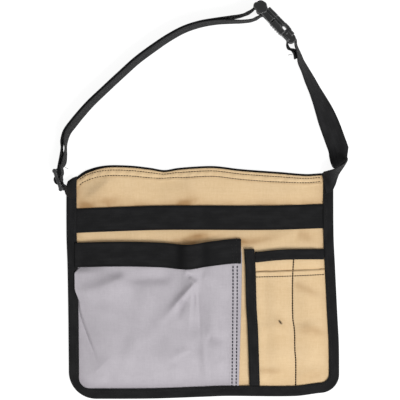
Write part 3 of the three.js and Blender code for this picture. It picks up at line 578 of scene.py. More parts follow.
class Finish:
    """A material under construction, with short calls that add and link its nodes."""

    def __init__(self, name, roughness, sheen=0.0, specular=0.3):
        material = bpy.data.materials.new(name)
        material.use_nodes = True
        FINISHES[name] = material
        self.tree = material.node_tree
        self.shader = self.tree.nodes["Principled BSDF"]
        self.shade("Roughness", roughness)
        self.shade("Sheen Weight", sheen)
        self.shade("Sheen Roughness", 0.5)
        self.shade("Specular IOR Level", specular)

    def put(self, value, socket):
        if isinstance(value, bpy.types.NodeSocket):
            self.tree.links.new(value, socket)
        else:
            socket.default_value = value

    def shade(self, key, value):
        """Set or link one input of the surface shader."""
        self.put(value, self.shader.inputs[key])

    def node(self, kind, inputs, **settings):
        """The outputs of a new node, from its settings and its inputs by name or number."""
        node = self.tree.nodes.new("ShaderNode" + kind)
        for key, value in settings.items():
            setattr(node, key, value)
        for key, value in inputs.items():
            self.put(value, node.inputs[key])
        return node.outputs

    def math(self, operation, *values):
        return self.node("Math", dict(enumerate(values)), operation=operation)[0]

    def times(self, first, second):
        return self.math("MULTIPLY", first, second)

    def add(self, rest, value, part=1.0):
        """A rest plus a part of a value."""
        return self.math("MULTIPLY_ADD", value, part, rest)

    def mix(self, factor, first, second):
        return self.node("Mix", {0: factor, 6: first, 7: second}, data_type="RGBA")[2]

    def share(self, value, low, high):
        """Where a value lies between two limits, from 0 to 1."""
        limits = {"Value": value, "From Min": low, "From Max": high}
        return self.node("MapRange", limits, interpolation_type="SMOOTHSTEP")["Result"]

    def vertex_value(self, name):
        return self.node("Attribute", {}, attribute_name=name)["Fac"]

    def find_weave(self):
        """Take the place along and across the threads, in millimetres."""
        place = self.node("UVMap", {}, uv_map="weave")[0]
        self.u, self.v = self.node("SeparateXYZ", {0: place})[:2]

    def noise(self, step_u, step_v, detail=2.0):
        """Soft noise from 0 to 1 whose features measure step_u by step_v millimetres."""
        place = {0: self.math("DIVIDE", self.u, step_u), 1: self.math("DIVIDE", self.v, step_v)}
        inputs = {"Vector": self.node("CombineXYZ", place)[0], "Scale": 1.0, "Detail": detail}
        return self.node("TexNoise", inputs, noise_dimensions="2D")["Fac"]

    def crossed_noise(self, long, short):
        """Noise drawn out along the threads of both ways."""
        return self.add(self.noise(long, short), self.noise(short, long))

    def plain_weave(self, pitch_u, pitch_v):
        """Height of a plain weave, from 0 to 1."""
        a = self.math("SINE", self.times(self.u, math.pi / pitch_u))
        b = self.math("SINE", self.times(self.v, math.pi / pitch_v))
        over = self.math("MULTIPLY_ADD", self.times(a, b), 0.5, 0.5)
        warp = self.times(self.times(a, a), over)
        weft = self.times(self.times(b, b), self.math("SUBTRACT", 1.0, over))
        return self.add(warp, weft)

    def relief(self, height, distance, strength):
        inputs = {"Strength": strength, "Distance": distance * MM, "Height": height}
        self.shade("Normal", self.node("Bump", inputs)[0])


CANVAS_PITCH = 0.85
STAIN_AND_SHADE_COLOUR = linear(42, 30, 20)
LINT_COLOUR = linear(150, 146, 140)
DARK_EDGE_AND_SHADE_COLOUR = linear(17, 17, 18)


def canvas_finish(name, light, dark, soil):
    """Washed cotton canvas: plain weave, thick and thin threads, faded patches, painted shade in the weave's
    hollows, and seam dirt, painted shade and a stain from vertex values.
    """
    finish = Finish(name, roughness=0.95, sheen=0.04, specular=0.08)
    finish.find_weave()
    height = finish.plain_weave(CANVAS_PITCH, CANVAS_PITCH)
    slub = finish.crossed_noise(7.0, 0.6)
    hatch = finish.crossed_noise(22.0, 2.2)
    patches = finish.noise(34.0, 27.0, 3.0)
    fuzz = finish.noise(0.35, 0.35, 3.0)
    tone = finish.add(finish.add(finish.times(patches, 0.6), slub, 0.5), hatch, 0.3)
    colour = finish.mix(finish.share(tone, 0.72, 1.5), dark, light)
    # Painted shade in the hollows of the weave
    weave_hollow_shade = finish.math("SUBTRACT", 1.0, finish.share(height, 0.02, 0.45))
    colour = finish.mix(finish.times(weave_hollow_shade, 0.22), colour, soil)
    # Seam dirt and painted shade, from a vertex value
    soiled = finish.times(finish.vertex_value("soil"), finish.share(patches, 0.1, 0.7))
    colour = finish.mix(soiled, colour, soil)
    # A stain, and the painted shadow line along the tool pocket's tuck
    finish.shade("Base Color", finish.mix(finish.vertex_value("mark"), colour, STAIN_AND_SHADE_COLOUR))
    finish.relief(finish.add(finish.add(height, fuzz, 0.5), slub, 0.35), 0.22, 0.55)


def tape_finish(name, rib, wave, dark, light, wear_and_highlight, sheen):
    """Black woven tape: ribs across it, a fine wave along them, faded high threads and lint, with dark edge
    lines and painted shade from a vertex value.
    """
    finish = Finish(name, roughness=0.8, sheen=sheen, specular=0.12)
    finish.find_weave()
    height = finish.plain_weave(rib, wave)
    streak = finish.noise(45.0, 1.1, 3.0)
    patches = finish.noise(22.0, 9.0, 3.0)
    lint = finish.share(finish.noise(1.6, 0.5, 1.0), 0.74, 0.82)
    tone = finish.add(finish.times(patches, 0.6), streak, 0.6)
    colour = finish.mix(finish.share(tone, 0.35, 0.9), dark, light)
    high = finish.times(finish.share(height, 0.45, 0.95), finish.share(patches, 0.35, 0.75))
    colour = finish.mix(finish.times(high, 0.35), colour, wear_and_highlight)
    colour = finish.mix(finish.times(lint, 0.10), colour, LINT_COLOUR)
    # Darker where the vertex value says: edge lines of tapes and straps, and painted shade in the grey band's
    # fold
    finish.shade("Base Color", finish.mix(finish.vertex_value("soil"), colour, DARK_EDGE_AND_SHADE_COLOUR))
    finish.relief(height, 0.3, 0.6)


def plastic_finish(name, dark, scuffed, wear_and_highlight):
    """Moulded plastic: fine texture, scuffs, and edges painted lighter grey as wear and painted highlight."""
    finish = Finish(name, roughness=0.4, specular=0.4)
    place = finish.node("TexCoord", {})["Object"]
    patches, grain, dust = (
        finish.node("TexNoise", {"Vector": place, "Scale": scale, "Detail": detail})["Fac"]
        for scale, detail in ((90.0, 3.0), (900.0, 2.0), (2600.0, 2.0))
    )
    scuffs = finish.times(finish.share(patches, 0.45, 0.7), finish.share(grain, 0.4, 0.7))
    # Edges that stand out are painted lighter grey in patches: painted highlight, and wear
    painted_light_patch = finish.times(finish.vertex_value("wear_and_highlight"), finish.share(patches, 0.3, 0.6))
    finish.shade("Base Color", finish.mix(painted_light_patch, finish.mix(scuffs, dark, scuffed), wear_and_highlight))
    finish.shade("Roughness", finish.math("MULTIPLY_ADD", scuffs, 0.25, 0.36))
    finish.relief(finish.add(grain, dust, 0.5), 0.06, 0.4)


def thread_finish(name, dark, light, twist=0.6):
    """Twisted sewing thread."""
    finish = Finish(name, roughness=0.7, sheen=0.04, specular=0.12)
    finish.find_weave()
    ply = finish.math("SINE", finish.times(finish.add(finish.u, finish.v), 2 * math.pi / twist))
    finish.shade("Base Color", finish.mix(finish.share(ply, -0.8, 1.0), dark, light))
    finish.relief(ply, 0.05, 0.5)


canvas_finish("tan_canvas", linear(234, 206, 165), linear(222, 192, 149), linear(158, 116, 70))
canvas_finish("grey_canvas", linear(193, 188, 194), linear(182, 177, 183), linear(126, 120, 127))
tape_finish("black_tape", 0.9, 0.6, linear(26, 26, 27), linear(33, 33, 34), linear(52, 52, 53), 0.0)
tape_finish("black_webbing", 1.5, 0.8, linear(27, 27, 28), linear(36, 36, 37), linear(58, 58, 59), 0.02)
plastic_finish("black_plastic", linear(31, 31, 32), linear(56, 56, 56), linear(92, 92, 93))
thread_finish("dark_thread", linear(34, 22, 13), linear(58, 40, 26))
thread_finish("blue_black_thread", linear(18, 19, 27), linear(36, 38, 52))
thread_finish("black_thread", linear(22, 22, 22), linear(50, 50, 50))


# Meshes
def placed(name, data):
    """A new object in the scene."""
    piece = bpy.data.objects.new(name, data)
    bpy.context.scene.collection.objects.link(piece)
    return piece


def set_values(mesh, key, values):
    """Keep one number for each vertex."""
    attribute = mesh.attributes.new(key, "FLOAT", "POINT")
    attribute.data.foreach_set("value", np.asarray(values, np.float32))


def riding_piece(name, mesh, finish):
    """A smooth-shaded piece that rides on the bag."""
    mesh.polygons.foreach_set("use_smooth", [True] * len(mesh.polygons))
    mesh.materials.clear()
    mesh.materials.append(FINISHES[finish])
    piece = placed(name, mesh)
    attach(piece, "root")
    return piece


def woven_piece(name, points, faces, finish, uv, values):
    """A piece of cloth or thread with places on its weave, from points in millimetres."""
    mesh = bpy.data.meshes.new(name)
    mesh.from_pydata((points * MM).tolist(), [], faces)
    corners = np.zeros(len(mesh.loops), int)
    mesh.loops.foreach_get("vertex_index", corners)
    layer = mesh.uv_layers.new(name="weave")
    layer.data.foreach_set("uv", uv[corners].ravel())
    for key, value in values.items():
        set_values(mesh, key, value)
    return riding_piece(name, mesh, finish)


def unit(vectors):
    return vectors / np.maximum(np.linalg.norm(vectors, axis=-1, keepdims=True), 1e-9)


def cloth(name, middle, thickness, finish, uv, stains_and_shade):
    """A closed sheet of cloth about a grid of middle points, with a rounded rim."""
    rows, columns, _ = middle.shape
    count = rows * columns
    thickness = np.broadcast_to(thickness, (rows, columns))[..., None]
    across, up = unit(np.gradient(middle, axis=1)), unit(np.gradient(middle, axis=0))
    half = unit(np.cross(across, up)) * thickness / 2
    outward = np.zeros_like(middle)
    outward[0] -= up[0]
    outward[-1] += up[-1]
    outward[:, 0] -= across[:, 0]
    outward[:, -1] += across[:, -1]
    edge = middle + unit(outward) * thickness * RIM_REACH
    index = np.arange(count).reshape(rows, columns)
    rim = np.concatenate([index[0, :-1], index[:-1, -1], index[-1, :0:-1], index[:0:-1, 0]])
    upper, lower = (middle + half).reshape(-1, 3), (middle - half).reshape(-1, 3)
    points = np.concatenate([upper, lower, edge.reshape(-1, 3)[rim]])
    corners = (index[:-1, :-1], index[:-1, 1:], index[1:, 1:], index[1:, :-1])
    quads = np.stack([c.ravel() for c in corners], axis=1)
    faces = [quads, quads[:, ::-1] + count]
    between = np.arange(len(rim)) + 2 * count
    for first, second in ((between, rim), (rim + count, between)):
        faces.append(np.stack([first, np.roll(first, -1), np.roll(second, -1), second], axis=1))

    def all_round(values):
        """Values of the grid for the upper face, the lower face and the rim."""
        return np.concatenate([values, values, values[rim]])

    spread = {}
    for key in ("soil", "mark"):
        spread[key] = all_round(np.broadcast_to(stains_and_shade.get(key, 0.0), (rows, columns)).ravel())
    weave = all_round(uv.reshape(-1, 2))
    return woven_piece(name, points, np.concatenate(faces).tolist(), finish, weave, spread)


def panel(name, x, y, under, thickness, finish, weave=None, **stains_and_shade):
    """A sheet of cloth over plan points, from the height of its underside."""
    middle = np.stack([x, y, under + thickness / 2], axis=-1)
    return cloth(name, middle, thickness, finish, np.stack(weave or (x, y), axis=-1), stains_and_shade)


def lengths(points):
    """Distance along a line of points, from its start."""
    steps = np.linalg.norm(np.diff(points, axis=0), axis=-1)
    return np.concatenate([[0], np.cumsum(steps)])


def strip_uv(middle):
    """Place along and across a strip whose rows run along it."""
    length = lengths(middle[:, middle.shape[1] // 2])
    width = lengths(middle[middle.shape[0] // 2])
    return np.stack(np.meshgrid(length, width, indexing="ij"), axis=-1)


def corner_inset(radius, lift):
    """How far in a panel's edge lies at a height above the bottom edge, round a corner."""
    left = radius - np.minimum(lift, radius)
    return radius - np.sqrt((radius - SEAM_MARGIN) ** 2 - left**2)


def panel_plan(left, right, top, bound, columns, corner_rows, body_rows):
    """Plan points of a panel that ends inside the bound edge at the left, the right or both sides, and
    follows its round corners there."""
    bound_left, bound_right = bound != "right", bound != "left"
    tallest = CORNERS["left"] if bound_left else CORNERS["right"]
    turn = np.linspace(0, math.pi / 2, corner_rows + 1)
    rising = SEAM_MARGIN + (tallest - SEAM_MARGIN) * (1 - np.cos(turn))
    lift = np.concatenate([rising, np.full(body_rows, tallest)])
    body = np.concatenate([np.zeros(corner_rows), np.linspace(0, 1, body_rows + 1)])[:, None]

    def height(x):
        start = bottom_edge(x) + lift[:, None]
        return start + (top(x) - start) * body

    level = height(np.full((len(lift), 1), (left(0.0) + right(0.0)) / 2))[:, 0]
    first = left(level) + (corner_inset(CORNERS["left"], lift) if bound_left else 0)
    final = right(level) - (corner_inset(CORNERS["right"], lift) if bound_right else 0)
    x = first[:, None] + (final - first)[:, None] * columns
    return x, height(x)


# The back panel
def back_top(x):
    return top_edge(x) - SEAM_MARGIN - BACK_TOP_GAP


x, y = panel_plan(
    left_edge, right_edge, back_top, "both", np.linspace(0, 1, 110), corner_rows=12, body_rows=84
)
seam = DIRT_AND_SHADE["back_seam"] * hump(inner(x, y), 0, 10)
back = panel("back_canvas", x, y, back_under(x, y), CANVAS, "tan_canvas", soil=seam)
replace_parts(back, "back_panel")


# The front panel, with its hem turned under
def front_soil(x, y):
    """Seam dirt, darker lines along the hem, and painted shade above the two bands and in the upper left
    corner.
    """
    depth = top_edge(x) - y
    tool, grey = y - tool_line(x), y - grey_line(x)
    shade_patch, painted_light_patch, left = (hump(x, *SHADE_PLACES[key]) for key in ("shade_patch", "painted_light_patch", "left"))
    # Painted shade above the two bands, reaching further at its patches and in the dip of the grey pocket's
    # mouth
    tool_reach = SHADE_AND_HEM_REACH["tool"] + SHADE_AND_HEM_REACH["shade_patch"] * shade_patch + SHADE_AND_HEM_REACH["left"] * left
    grey_reach = SHADE_AND_HEM_REACH["grey"] + SHADE_AND_HEM_REACH["painted_light_patch"] * painted_light_patch
    above_tool = np.exp(-np.maximum(tool, 0) / tool_reach) * (tool > -SHADE_AND_HEM_REACH["under"])
    above_grey = np.exp(-np.maximum(grey, 0) / grey_reach) * (grey > -SHADE_AND_HEM_REACH["under"])
    above_grey = above_grey * ease(SHADE_AND_HEM_REACH["right_end"] - x, 0, SHADE_AND_HEM_REACH["right_fade"])
    upper, lower = hem_rows(x)
    soil = DIRT_AND_SHADE["front_seam"] * hump(inner(x, y), 0, 6)
    soil = soil + (DIRT_AND_SHADE["tool_band"] + DIRT_AND_SHADE["shade_patch"] * shade_patch) * above_tool
    soil = soil + (DIRT_AND_SHADE["grey_band"] + DIRT_AND_SHADE["painted_light_patch"] * painted_light_patch) * above_grey
    # Painted shade in the upper left corner
    corner = hump(x, *SHADE_PLACES["corner_x"]) * hump(y, *SHADE_PLACES["corner_y"])
    soil = soil + DIRT_AND_SHADE["corner"] * corner
    # Darker lines along the rows of the hem
    below_hem = hump(depth, lower + SHADE_AND_HEM_REACH["hem_drop"], SHADE_AND_HEM_REACH["hem_lower"])
    soil = soil + DIRT_AND_SHADE["hem"] * (below_hem + hump(depth, upper, SHADE_AND_HEM_REACH["hem_upper"]))
    # Streaks, mostly of painted shade
    return np.clip(soil + folds(FRONT_SHADE_STREAKS, x, y), 0, DIRT_AND_SHADE["most"])


x, y = panel_plan(
    left_edge, right_edge, hem_line, "both", np.linspace(0, 1, 190), corner_rows=14, body_rows=160
)
hem = ease(HEM_EDGE["depth"] - top_edge(x) + y, 0, HEM_EDGE["reach"])
thick = CANVAS + (HEM - CANVAS) * hem
under = front_under(x, y) + front_relief(x, y)
front = panel("front_canvas", x, y, under, thick, "tan_canvas", soil=front_soil(x, y))
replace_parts(front, "front_panel")


# Bands across the front and along the grey pocket's mouth
def band_plan(first, final, line, width, columns, rows):
    x = np.linspace(first, final, columns)[None, :] * np.ones((rows, 1))
    return x, line(x) - np.linspace(width, 0, rows)[:, None]


def band_piece(name, x, y, line, under, shade=0.0, edge=1.6, edge_width=0.7):
    """A band below a line, with dark edges where the weave turns back and any painted shade that is given."""
    drop = line(x) - y
    edges = hump(drop, edge, edge_width) + hump(BAND_WIDTH - drop, edge, edge_width)
    soil = np.clip(DIRT_AND_SHADE["band_edge"] * edges + shade, 0, 1)
    return panel(name, x, y, under, TAPE, "black_tape", (x, drop), soil=soil)


left, right = (edge(BAND_LEVEL["tool"]) for edge in (left_edge, right_edge))
width = BAND_WIDTH - BAND_TRIM
x, y = band_plan(left + SEAM_MARGIN, right - SEAM_MARGIN, tool_line, width, columns=150, rows=22)
wave = TOOL_BAND["wave"] * np.sin(x / TOOL_BAND["wave_length"]) * ease(edge_distance(x, y), 20, 30)
band = band_piece("tool_band_webbing", x, y, tool_line, tool_band_under(x, y) + wave)
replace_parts(band, "tool_band")


# The grey pocket: it swells over the binding at its left edge
def seam_line(row, y):
    """A row of stitches that draws nearer to the pocket's right edge towards the bottom."""
    below = SEAM_SLANT["top"] - np.minimum(y, SEAM_SLANT["top"])
    return grey_right(y) - row + SEAM_SLANT["slope"] * below


columns = np.concatenate([np.linspace(0, 0.16, 60, endpoint=False), np.linspace(0.16, 1, 160)])
x, y = panel_plan(left_edge, grey_right, grey_line, "left", columns, corner_rows=16, body_rows=132)
thick = CANVAS + (GREY_HEM - CANVAS) * ease(x - grey_right(y), -GREY_SEW, 1.5)
under = grey_under(x, y) + grey_relief(x, y)
for row in SEAM_ROWS:
    under = under - SEAM_SINK["pocket"] * hump(x, seam_line(row, y), SEAM_SINK["width"])
swelling = hump(np.minimum(y - BULGE["y"], 0), 0, BULGE["reach"]) * ease(BULGE["top"] - y, 0, BULGE["fade"])
swelling = swelling * (x < BULGE["right"])
inside = edge_distance(x, y)
lift, over = (
    swelling * most * ease(inside, start, rise) * (1 - ease(inside, end, fall))
    for most, start, rise, end, fall in zip(*BULGE_FORM.values())
)
soil = DIRT_AND_SHADE["grey_seam"] * hump(inside, BINDING_WIDTH, 6) * (1 - swelling)
# Seam dirt, a darker line at the sewn right edge, and painted shade in the folds
soil = soil + DIRT_AND_SHADE["grey_edge"] * hump(x, grey_right(y), 2) + folds(GREY_SHADE_STREAKS, x, y)
grey = panel("grey_canvas_pocket", x - over, y, under + lift, thick, "grey_canvas", (x, y), soil=soil)
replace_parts(grey, "grey_pocket")

left = left_edge(BAND_LEVEL["grey"]) + BINDING_WIDTH - GREY_BAND["under_binding"]
right = grey_right(GREY_BAND["right_at"])
x, y = band_plan(left, right, grey_line, BAND_WIDTH, columns=150, rows=24)
end_lift = GREY_BAND["end_lift"] * (1 - ease(inner(x, y), -1, GREY_BAND["lift_reach"]))
under = grey_face(x, y) + GREY_BAND["clearance"] + end_lift
for row in SEAM_ROWS:
    under = under - SEAM_SINK["band"] * hump(x, right - row, SEAM_SINK["width"])
# Painted shade on the band at its standing fold: on the fold's left flank and at its right foot
fold_shade = DIRT_AND_SHADE["fold_left"] * hump(x, *SHADE_PLACES["fold_left"])
fold_shade = fold_shade + DIRT_AND_SHADE["fold_right"] * hump(x, *SHADE_PLACES["fold_right"])
grey_band = band_piece("grey_pocket_webbing", x, y, grey_line, under, fold_shade)
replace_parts(grey_band, "grey_pocket_band")


# The tool pocket, with a stain, and painted shade along its tuck and in its folds
def tool_start(y):
    return tool_left(y) + SEAM_MARGIN


def tool_end(x):
    return tool_mouth(x) - SEAM_MARGIN


x, y = panel_plan(
    tool_start, right_edge, tool_end, "right", np.linspace(0, 1, 110), corner_rows=14, body_rows=150
)
turn = math.radians(MARK["bearing"])
mark_along = (x - MARK["x"]) * math.cos(turn) + (y - MARK["y"]) * math.sin(turn)
mark_aside = (y - MARK["y"]) * math.cos(turn) - (x - MARK["x"]) * math.sin(turn)
mark_reach = np.hypot(mark_along / MARK["half_length"], mark_aside / MARK["half_width"])
above_tuck = y - tuck_line(x)
stain = MARK_EDGE["strength"] * ease(MARK_EDGE["end"] - mark_reach, 0, MARK_EDGE["fade"])
# Painted shadow line along the tuck, in the stain's colour
tuck_shadow_line = TUCK_SHADING["mark"] * hump(above_tuck, TUCK_SHADING["mark_above"], TUCK_SHADING["mark_width"])
mark = np.maximum(stain, tuck_shadow_line)
# Painted shade just above the tuck
tuck_shade = hump(above_tuck, TUCK_SHADING["soil_above"], TUCK_SHADING["soil_width"])
halo = hump(mark_along, 0, MARK_EDGE["halo_length"])
soil = DIRT_AND_SHADE["tool_seam"] * hump(inner(x, y), 0, 5) + DIRT_AND_SHADE["tuck"] * tuck_shade
soil = soil + DIRT_AND_SHADE["round_mark"] * halo * hump(mark_aside, 0, MARK_EDGE["halo_width"])
# Painted shade in the pocket's folds
soil = soil + folds(TOOL_SHADE_STREAKS, x, y)
under = tool_pocket_under(x, y) + tool_relief(x, y)
tool = panel("tool_canvas_pocket", x, y, under, CANVAS, "tan_canvas", soil=soil, mark=mark)
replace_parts(tool, "tool_pocket")


# Folded tapes
def folded_tape(name, points, into, high, low, radius, high_leg, low_leg, leg_steps=9, turn_steps=5):
    """A tape folded over an edge: the heights of its outer faces by depth from the fold, the fold's
    radius and the length of each leg."""
    radius = radius - TAPE / 2
    legs = [(1 - step / leg_steps, 0.0) for step in range(leg_steps)]
    half = legs + [(0.0, angle) for angle in np.linspace(0, math.pi / 2, turn_steps)]
    lines = []
    for side, face, leg, places in ((1, high, high_leg, half), (-1, low, low_leg, half[::-1])):
        leg = np.broadcast_to(leg, len(points))
        for reach, angle in places:
            depth = TAPE / 2 + radius * (1 - math.sin(angle)) + reach * (leg - TAPE / 2 - radius)
            height = face(depth) - side * (TAPE / 2 + radius * (1 - math.cos(angle)))
            lines.append(np.column_stack([points + into * depth[:, None], height]))
    middle = np.stack(lines, axis=1)
    return cloth(name, middle, TAPE, "black_tape", strip_uv(middle), {})


def on_tape(points, into, depth, high):
    """A line along a tape's upper face at a depth from its fold, with upright normals."""
    depth = np.full(len(points), depth)
    line = np.column_stack([points + into * depth[:, None], high(depth)])
    return line, np.tile([0.0, 0.0, 1.0], (len(points), 1))


def on_floor(depth):
    return np.zeros_like(depth)


def bound_path(side_steps, corner_steps, bottom_steps):
    """The bound edge from the tape's left end, round both corners, to its right end."""
    left_corner = left_edge(CORNER_TOPS["left"]) + CORNERS["left"]
    right_corner = right_edge(CORNER_TOPS["right"]) - CORNERS["right"]
    arcs = []
    for centre, radius, start in ((left_corner, CORNERS["left"], 180), (right_corner, CORNERS["right"], 270)):
        turn = np.radians(np.linspace(start, start + 90, corner_steps + 1))
        x = centre + radius * np.cos(turn)
        arcs.append((x, bottom_edge(x) + radius * (1 + np.sin(turn))))
    down = np.linspace(BINDING_ENDS["left"], arcs[0][1][0], side_steps, endpoint=False)
    over = np.linspace(left_corner, right_corner, bottom_steps + 1)[1:-1]
    up = np.linspace(arcs[1][1][-1], BINDING_ENDS["right"], side_steps + 1)[1:]
    stretches = (left_edge(down), down), arcs[0], (over, bottom_edge(over)), arcs[1], (right_edge(up), up)
    return np.concatenate([np.column_stack(stretch) for stretch in stretches])


def soften(values, reach):
    """Running mean of values along a path."""
    kernel = np.ones(reach) / reach
    return np.convolve(np.pad(values, reach // 2, mode="edge"), kernel, mode="valid")[: len(values)]


def layers_top(x, y):
    """Highest cloth face under the free edge of the edge binding."""
    face = front_face(x, y)
    drop = tool_line(x) - y
    for covered, other in (
        ((drop > -2) & (drop < BAND_WIDTH + 2), tool_band_under(x, y) + TAPE),
        ((x < grey_right(y) + 1) & (y < grey_line(x) + 2), grey_under(x, y) + CANVAS),
        ((x > tool_left(y) - 2) & (y < tool_mouth(x) + 2), tool_pocket_under(x, y) + CANVAS + TAPE),
    ):
        face = np.where(covered, np.maximum(face, other), face)
    return face


path = bound_path(side_steps=110, corner_steps=36, bottom_steps=140)
run = unit(np.gradient(path, axis=0))
into = np.stack([-run[:, 1], run[:, 0]], axis=1)
skew = ease(path[:, 1], BINDING_ENDS["skew_start"], BINDING_ENDS["skew_reach"]) * (path[:, 0] < 0)
into[:, 1] += BINDING_ENDS["left_skew"] * skew
lip = layers_top(*(path + into * BINDING_WIDTH).T) + BINDING_LIP["clearance"]
lip = soften(np.maximum(lip, BINDING_LIP["least"]), BINDING_LIP["soften"])
lip = np.minimum(lip, BINDING_HEIGHT)
distance = lengths(path)
ripple = wavering(
    distance, BINDING_RIPPLE["length"], BINDING_RIPPLE["swing"], distance / BINDING_RIPPLE["drift"]
)
lip = lip + BINDING_RIPPLE["height"] * ripple
turned = np.abs(run[:, 0] * run[:, 1]) * 2
corner_trim = CORNER_TRIM * turned**2 * ((path[:, 0] < 0) & (path[:, 1] < 0))


def binding_face(depth):
    """Upper face of the edge binding: flat at the fold, down to the cloth at its lip."""
    return BINDING_HEIGHT + (lip - BINDING_HEIGHT) * ease(depth, BINDING_LIP["flat"], BINDING_LIP["slope"])


edge_tape = folded_tape(
    "edge_binding_tape", path, into, binding_face, on_floor, FOLD_RADIUS["edge"],
    BINDING_WIDTH - corner_trim, BINDING_WIDTH,
)
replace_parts(edge_tape, "edge_binding")

RIGHTWARDS, DOWNWARDS = np.array([1.0, 0.0]), np.array([0.0, -1.0])
right = right_edge(MOUTH_TAPE["right_level"]) - BINDING_WIDTH - MOUTH_TAPE["end_gap"]
left = left_edge(MOUTH_TAPE["left_level"]) + BINDING_WIDTH + MOUTH_TAPE["end_gap"]
mouth_x = np.linspace(right, left, 130)
mouth_tape = folded_tape(
    "mouth_binding_tape", np.column_stack([mouth_x, top_edge(mouth_x)]), DOWNWARDS,
    lambda depth: on_floor(depth) + FRONT_SEAM + TAPE, on_floor, FOLD_RADIUS["mouth"],
    TOP_BINDING_DEPTH, TOP_BINDING_DEPTH,
)
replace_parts(mouth_tape, "back_top_binding")


def pocket_face(points, into):
    """Upper face, by depth, of a tape over an edge of the tool pocket."""

    def high(depth):
        place = points + into * np.maximum(depth, SEAM_MARGIN)[:, None]
        return tool_pocket_under(*place.T) + CANVAS + TAPE_GAP + TAPE

    return high


def pocket_tape(name, points, into):
    """A tape over an edge of the tool pocket; near the bound edge only its outer leg is left."""
    high = pocket_face(points, into)

    def low(depth):
        under_pocket = high(depth) - CANVAS - 2 * (TAPE_GAP + TAPE)
        return np.maximum(under_pocket, front_face(*(points + into * depth[:, None]).T) + GAP)

    least = FOLD_RADIUS["pocket"] + POCKET_LEG["extra"]
    long = ease(inner(*points.T), POCKET_LEG["room"], POCKET_LEG["fade"])
    low_leg = least + (BINDING_WIDTH - least) * long
    return folded_tape(name, points, into, high, low, FOLD_RADIUS["pocket"], BINDING_WIDTH, low_leg)


foot = bottom_edge(SIDE_TAPE["foot"]) + BINDING_WIDTH + SIDE_TAPE["end_gap"]
side_y = np.linspace(SIDE_TAPE["top"], foot, 90)
side_points = np.column_stack([tool_left(side_y), side_y])
side_tape = pocket_tape("tool_pocket_side_tape", side_points, RIGHTWARDS)
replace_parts(side_tape, "tool_pocket_side_binding")

right = right_edge(TOP_TAPE["right_level"]) - BINDING_WIDTH - TOP_TAPE["right_gap"]
left = tool_left(TOP_TAPE["left_level"]) + BINDING_WIDTH + TOP_TAPE["left_gap"]
top_x = np.linspace(right, left, 70)
top_points = np.column_stack([top_x, tool_mouth(top_x)])
top_tape = pocket_tape("tool_pocket_mouth_tape", top_points, DOWNWARDS)
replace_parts(top_tape, "tool_pocket_top_binding")


# Straps of webbing
SELVEDGE = {"start": 0.88, "reach": 0.12, "thinner": 0.3, "line": 0.9, "line_width": 0.05}
STRAP_SHARES = np.concatenate([[-1, -0.93], np.linspace(-0.8, 0.8, 9), [0.93, 1]])


def standing(place):
    """Axes of a hard piece that stands on edge: along its length, across its thickness, up its width."""
    turn, lean = math.radians(place["bearing"]), math.radians(place["lean"])
    along = np.array([math.cos(turn), math.sin(turn), 0.0])
    level = np.array([-along[1], along[0], 0.0])
    up = level * math.sin(lean) + np.array([0.0, 0.0, math.cos(lean)])
    origin = np.array([place["x"], place["y"], place["z"]])
    return {"origin": origin, "along": along, "across": np.cross(up, along), "up": up}


GLIDE_AXES = standing(GLIDE)
BUCKLE_AXES = standing(BUCKLE)


def leaning(x, y, z, lean, towards):
    """Centres of a strap and the directions of its width."""
    lean, towards = np.radians(lean), np.radians(towards)
    width = np.stack([np.sin(lean) * np.cos(towards), np.sin(lean) * np.sin(towards), np.cos(lean)], axis=-1)
    return np.stack([x, y, z], axis=-1), width


def on_axes(axes, rows, side=None):
    """Centres of a strap and the directions of its width, by the axes of a hard piece."""
    centre = axes["origin"] + rows["along"][:, None] * axes["along"]
    centre = centre + rows["across"][:, None] * axes["across"]
    width = np.broadcast_to(axes["up"], centre.shape)
    if side:
        width = unit(width + np.tan(np.radians(rows["tip"]))[:, None] * np.array(side))
    return centre, width


def arch_layer(share):
    """One layer of the doubled stretch, moved inwards by a share of the spacing."""
    x, y = STRAP_ARCH["x"], STRAP_ARCH["y"]
    heading = np.arctan2(differences(y), differences(x))
    inset = ARCH_INSET + share * STRAP_ARCH["apart"]
    x, y = x + inset * np.sin(heading), y - inset * np.cos(heading)
    return leaning(x, y, STRAP_ARCH["z"], STRAP_ARCH["lean"], np.degrees(heading) + 90)


def through(points, steps):
    """Centripetal curve through points, with even steps from one to the next."""
    points = np.asarray(points, float)
    padded = np.concatenate([[2 * points[0] - points[1]], points, [2 * points[-1] - points[-2]]])
    spans = np.sqrt(np.linalg.norm(np.diff(padded, axis=0), axis=1))
    spans = np.where(spans < 1e-2, 1.0, spans)[:, None]
    p0, p1, p2, p3 = padded[:-3], padded[1:-2], padded[2:-1], padded[3:]
    d0, d1, d2 = spans[:-2], spans[1:-1], spans[2:]
    start = ((p1 - p0) / d0 - (p2 - p0) / (d0 + d1) + (p2 - p1) / d1) * d1
    end = ((p2 - p1) / d1 - (p3 - p1) / (d1 + d2) + (p3 - p2) / d2) * d1
    t = np.linspace(0, 1, steps, endpoint=False)[None, :, None]
    p1, p2, start, end = (v[:, None, :] for v in (p1, p2, start, end))
    bend, twist = 3 * (p2 - p1) - 2 * start - end, 2 * (p1 - p2) + start + end
    line = p1 + t * (start + t * (bend + t * twist))
    return np.concatenate([line.reshape(-1, 3), points[-1:]])


def strap_grid(stretches, steps):
    """Middle points of a strap: rows along it, columns across its width."""
    centres, widths = (through(np.concatenate(rows), steps) for rows in zip(*stretches))
    widths = unit(widths)
    squareness = np.linalg.norm(np.cross(unit(np.gradient(centres, axis=0)), widths), axis=1)
    reach = STRAP_WIDTH / 2 / np.maximum(squareness, LEAST_SQUARENESS)
    return centres[:, None, :] + widths[:, None, :] * reach[:, None, None] * STRAP_SHARES[None, :, None]


def reverse(stretch):
    return stretch[0][::-1], stretch[1][::-1]


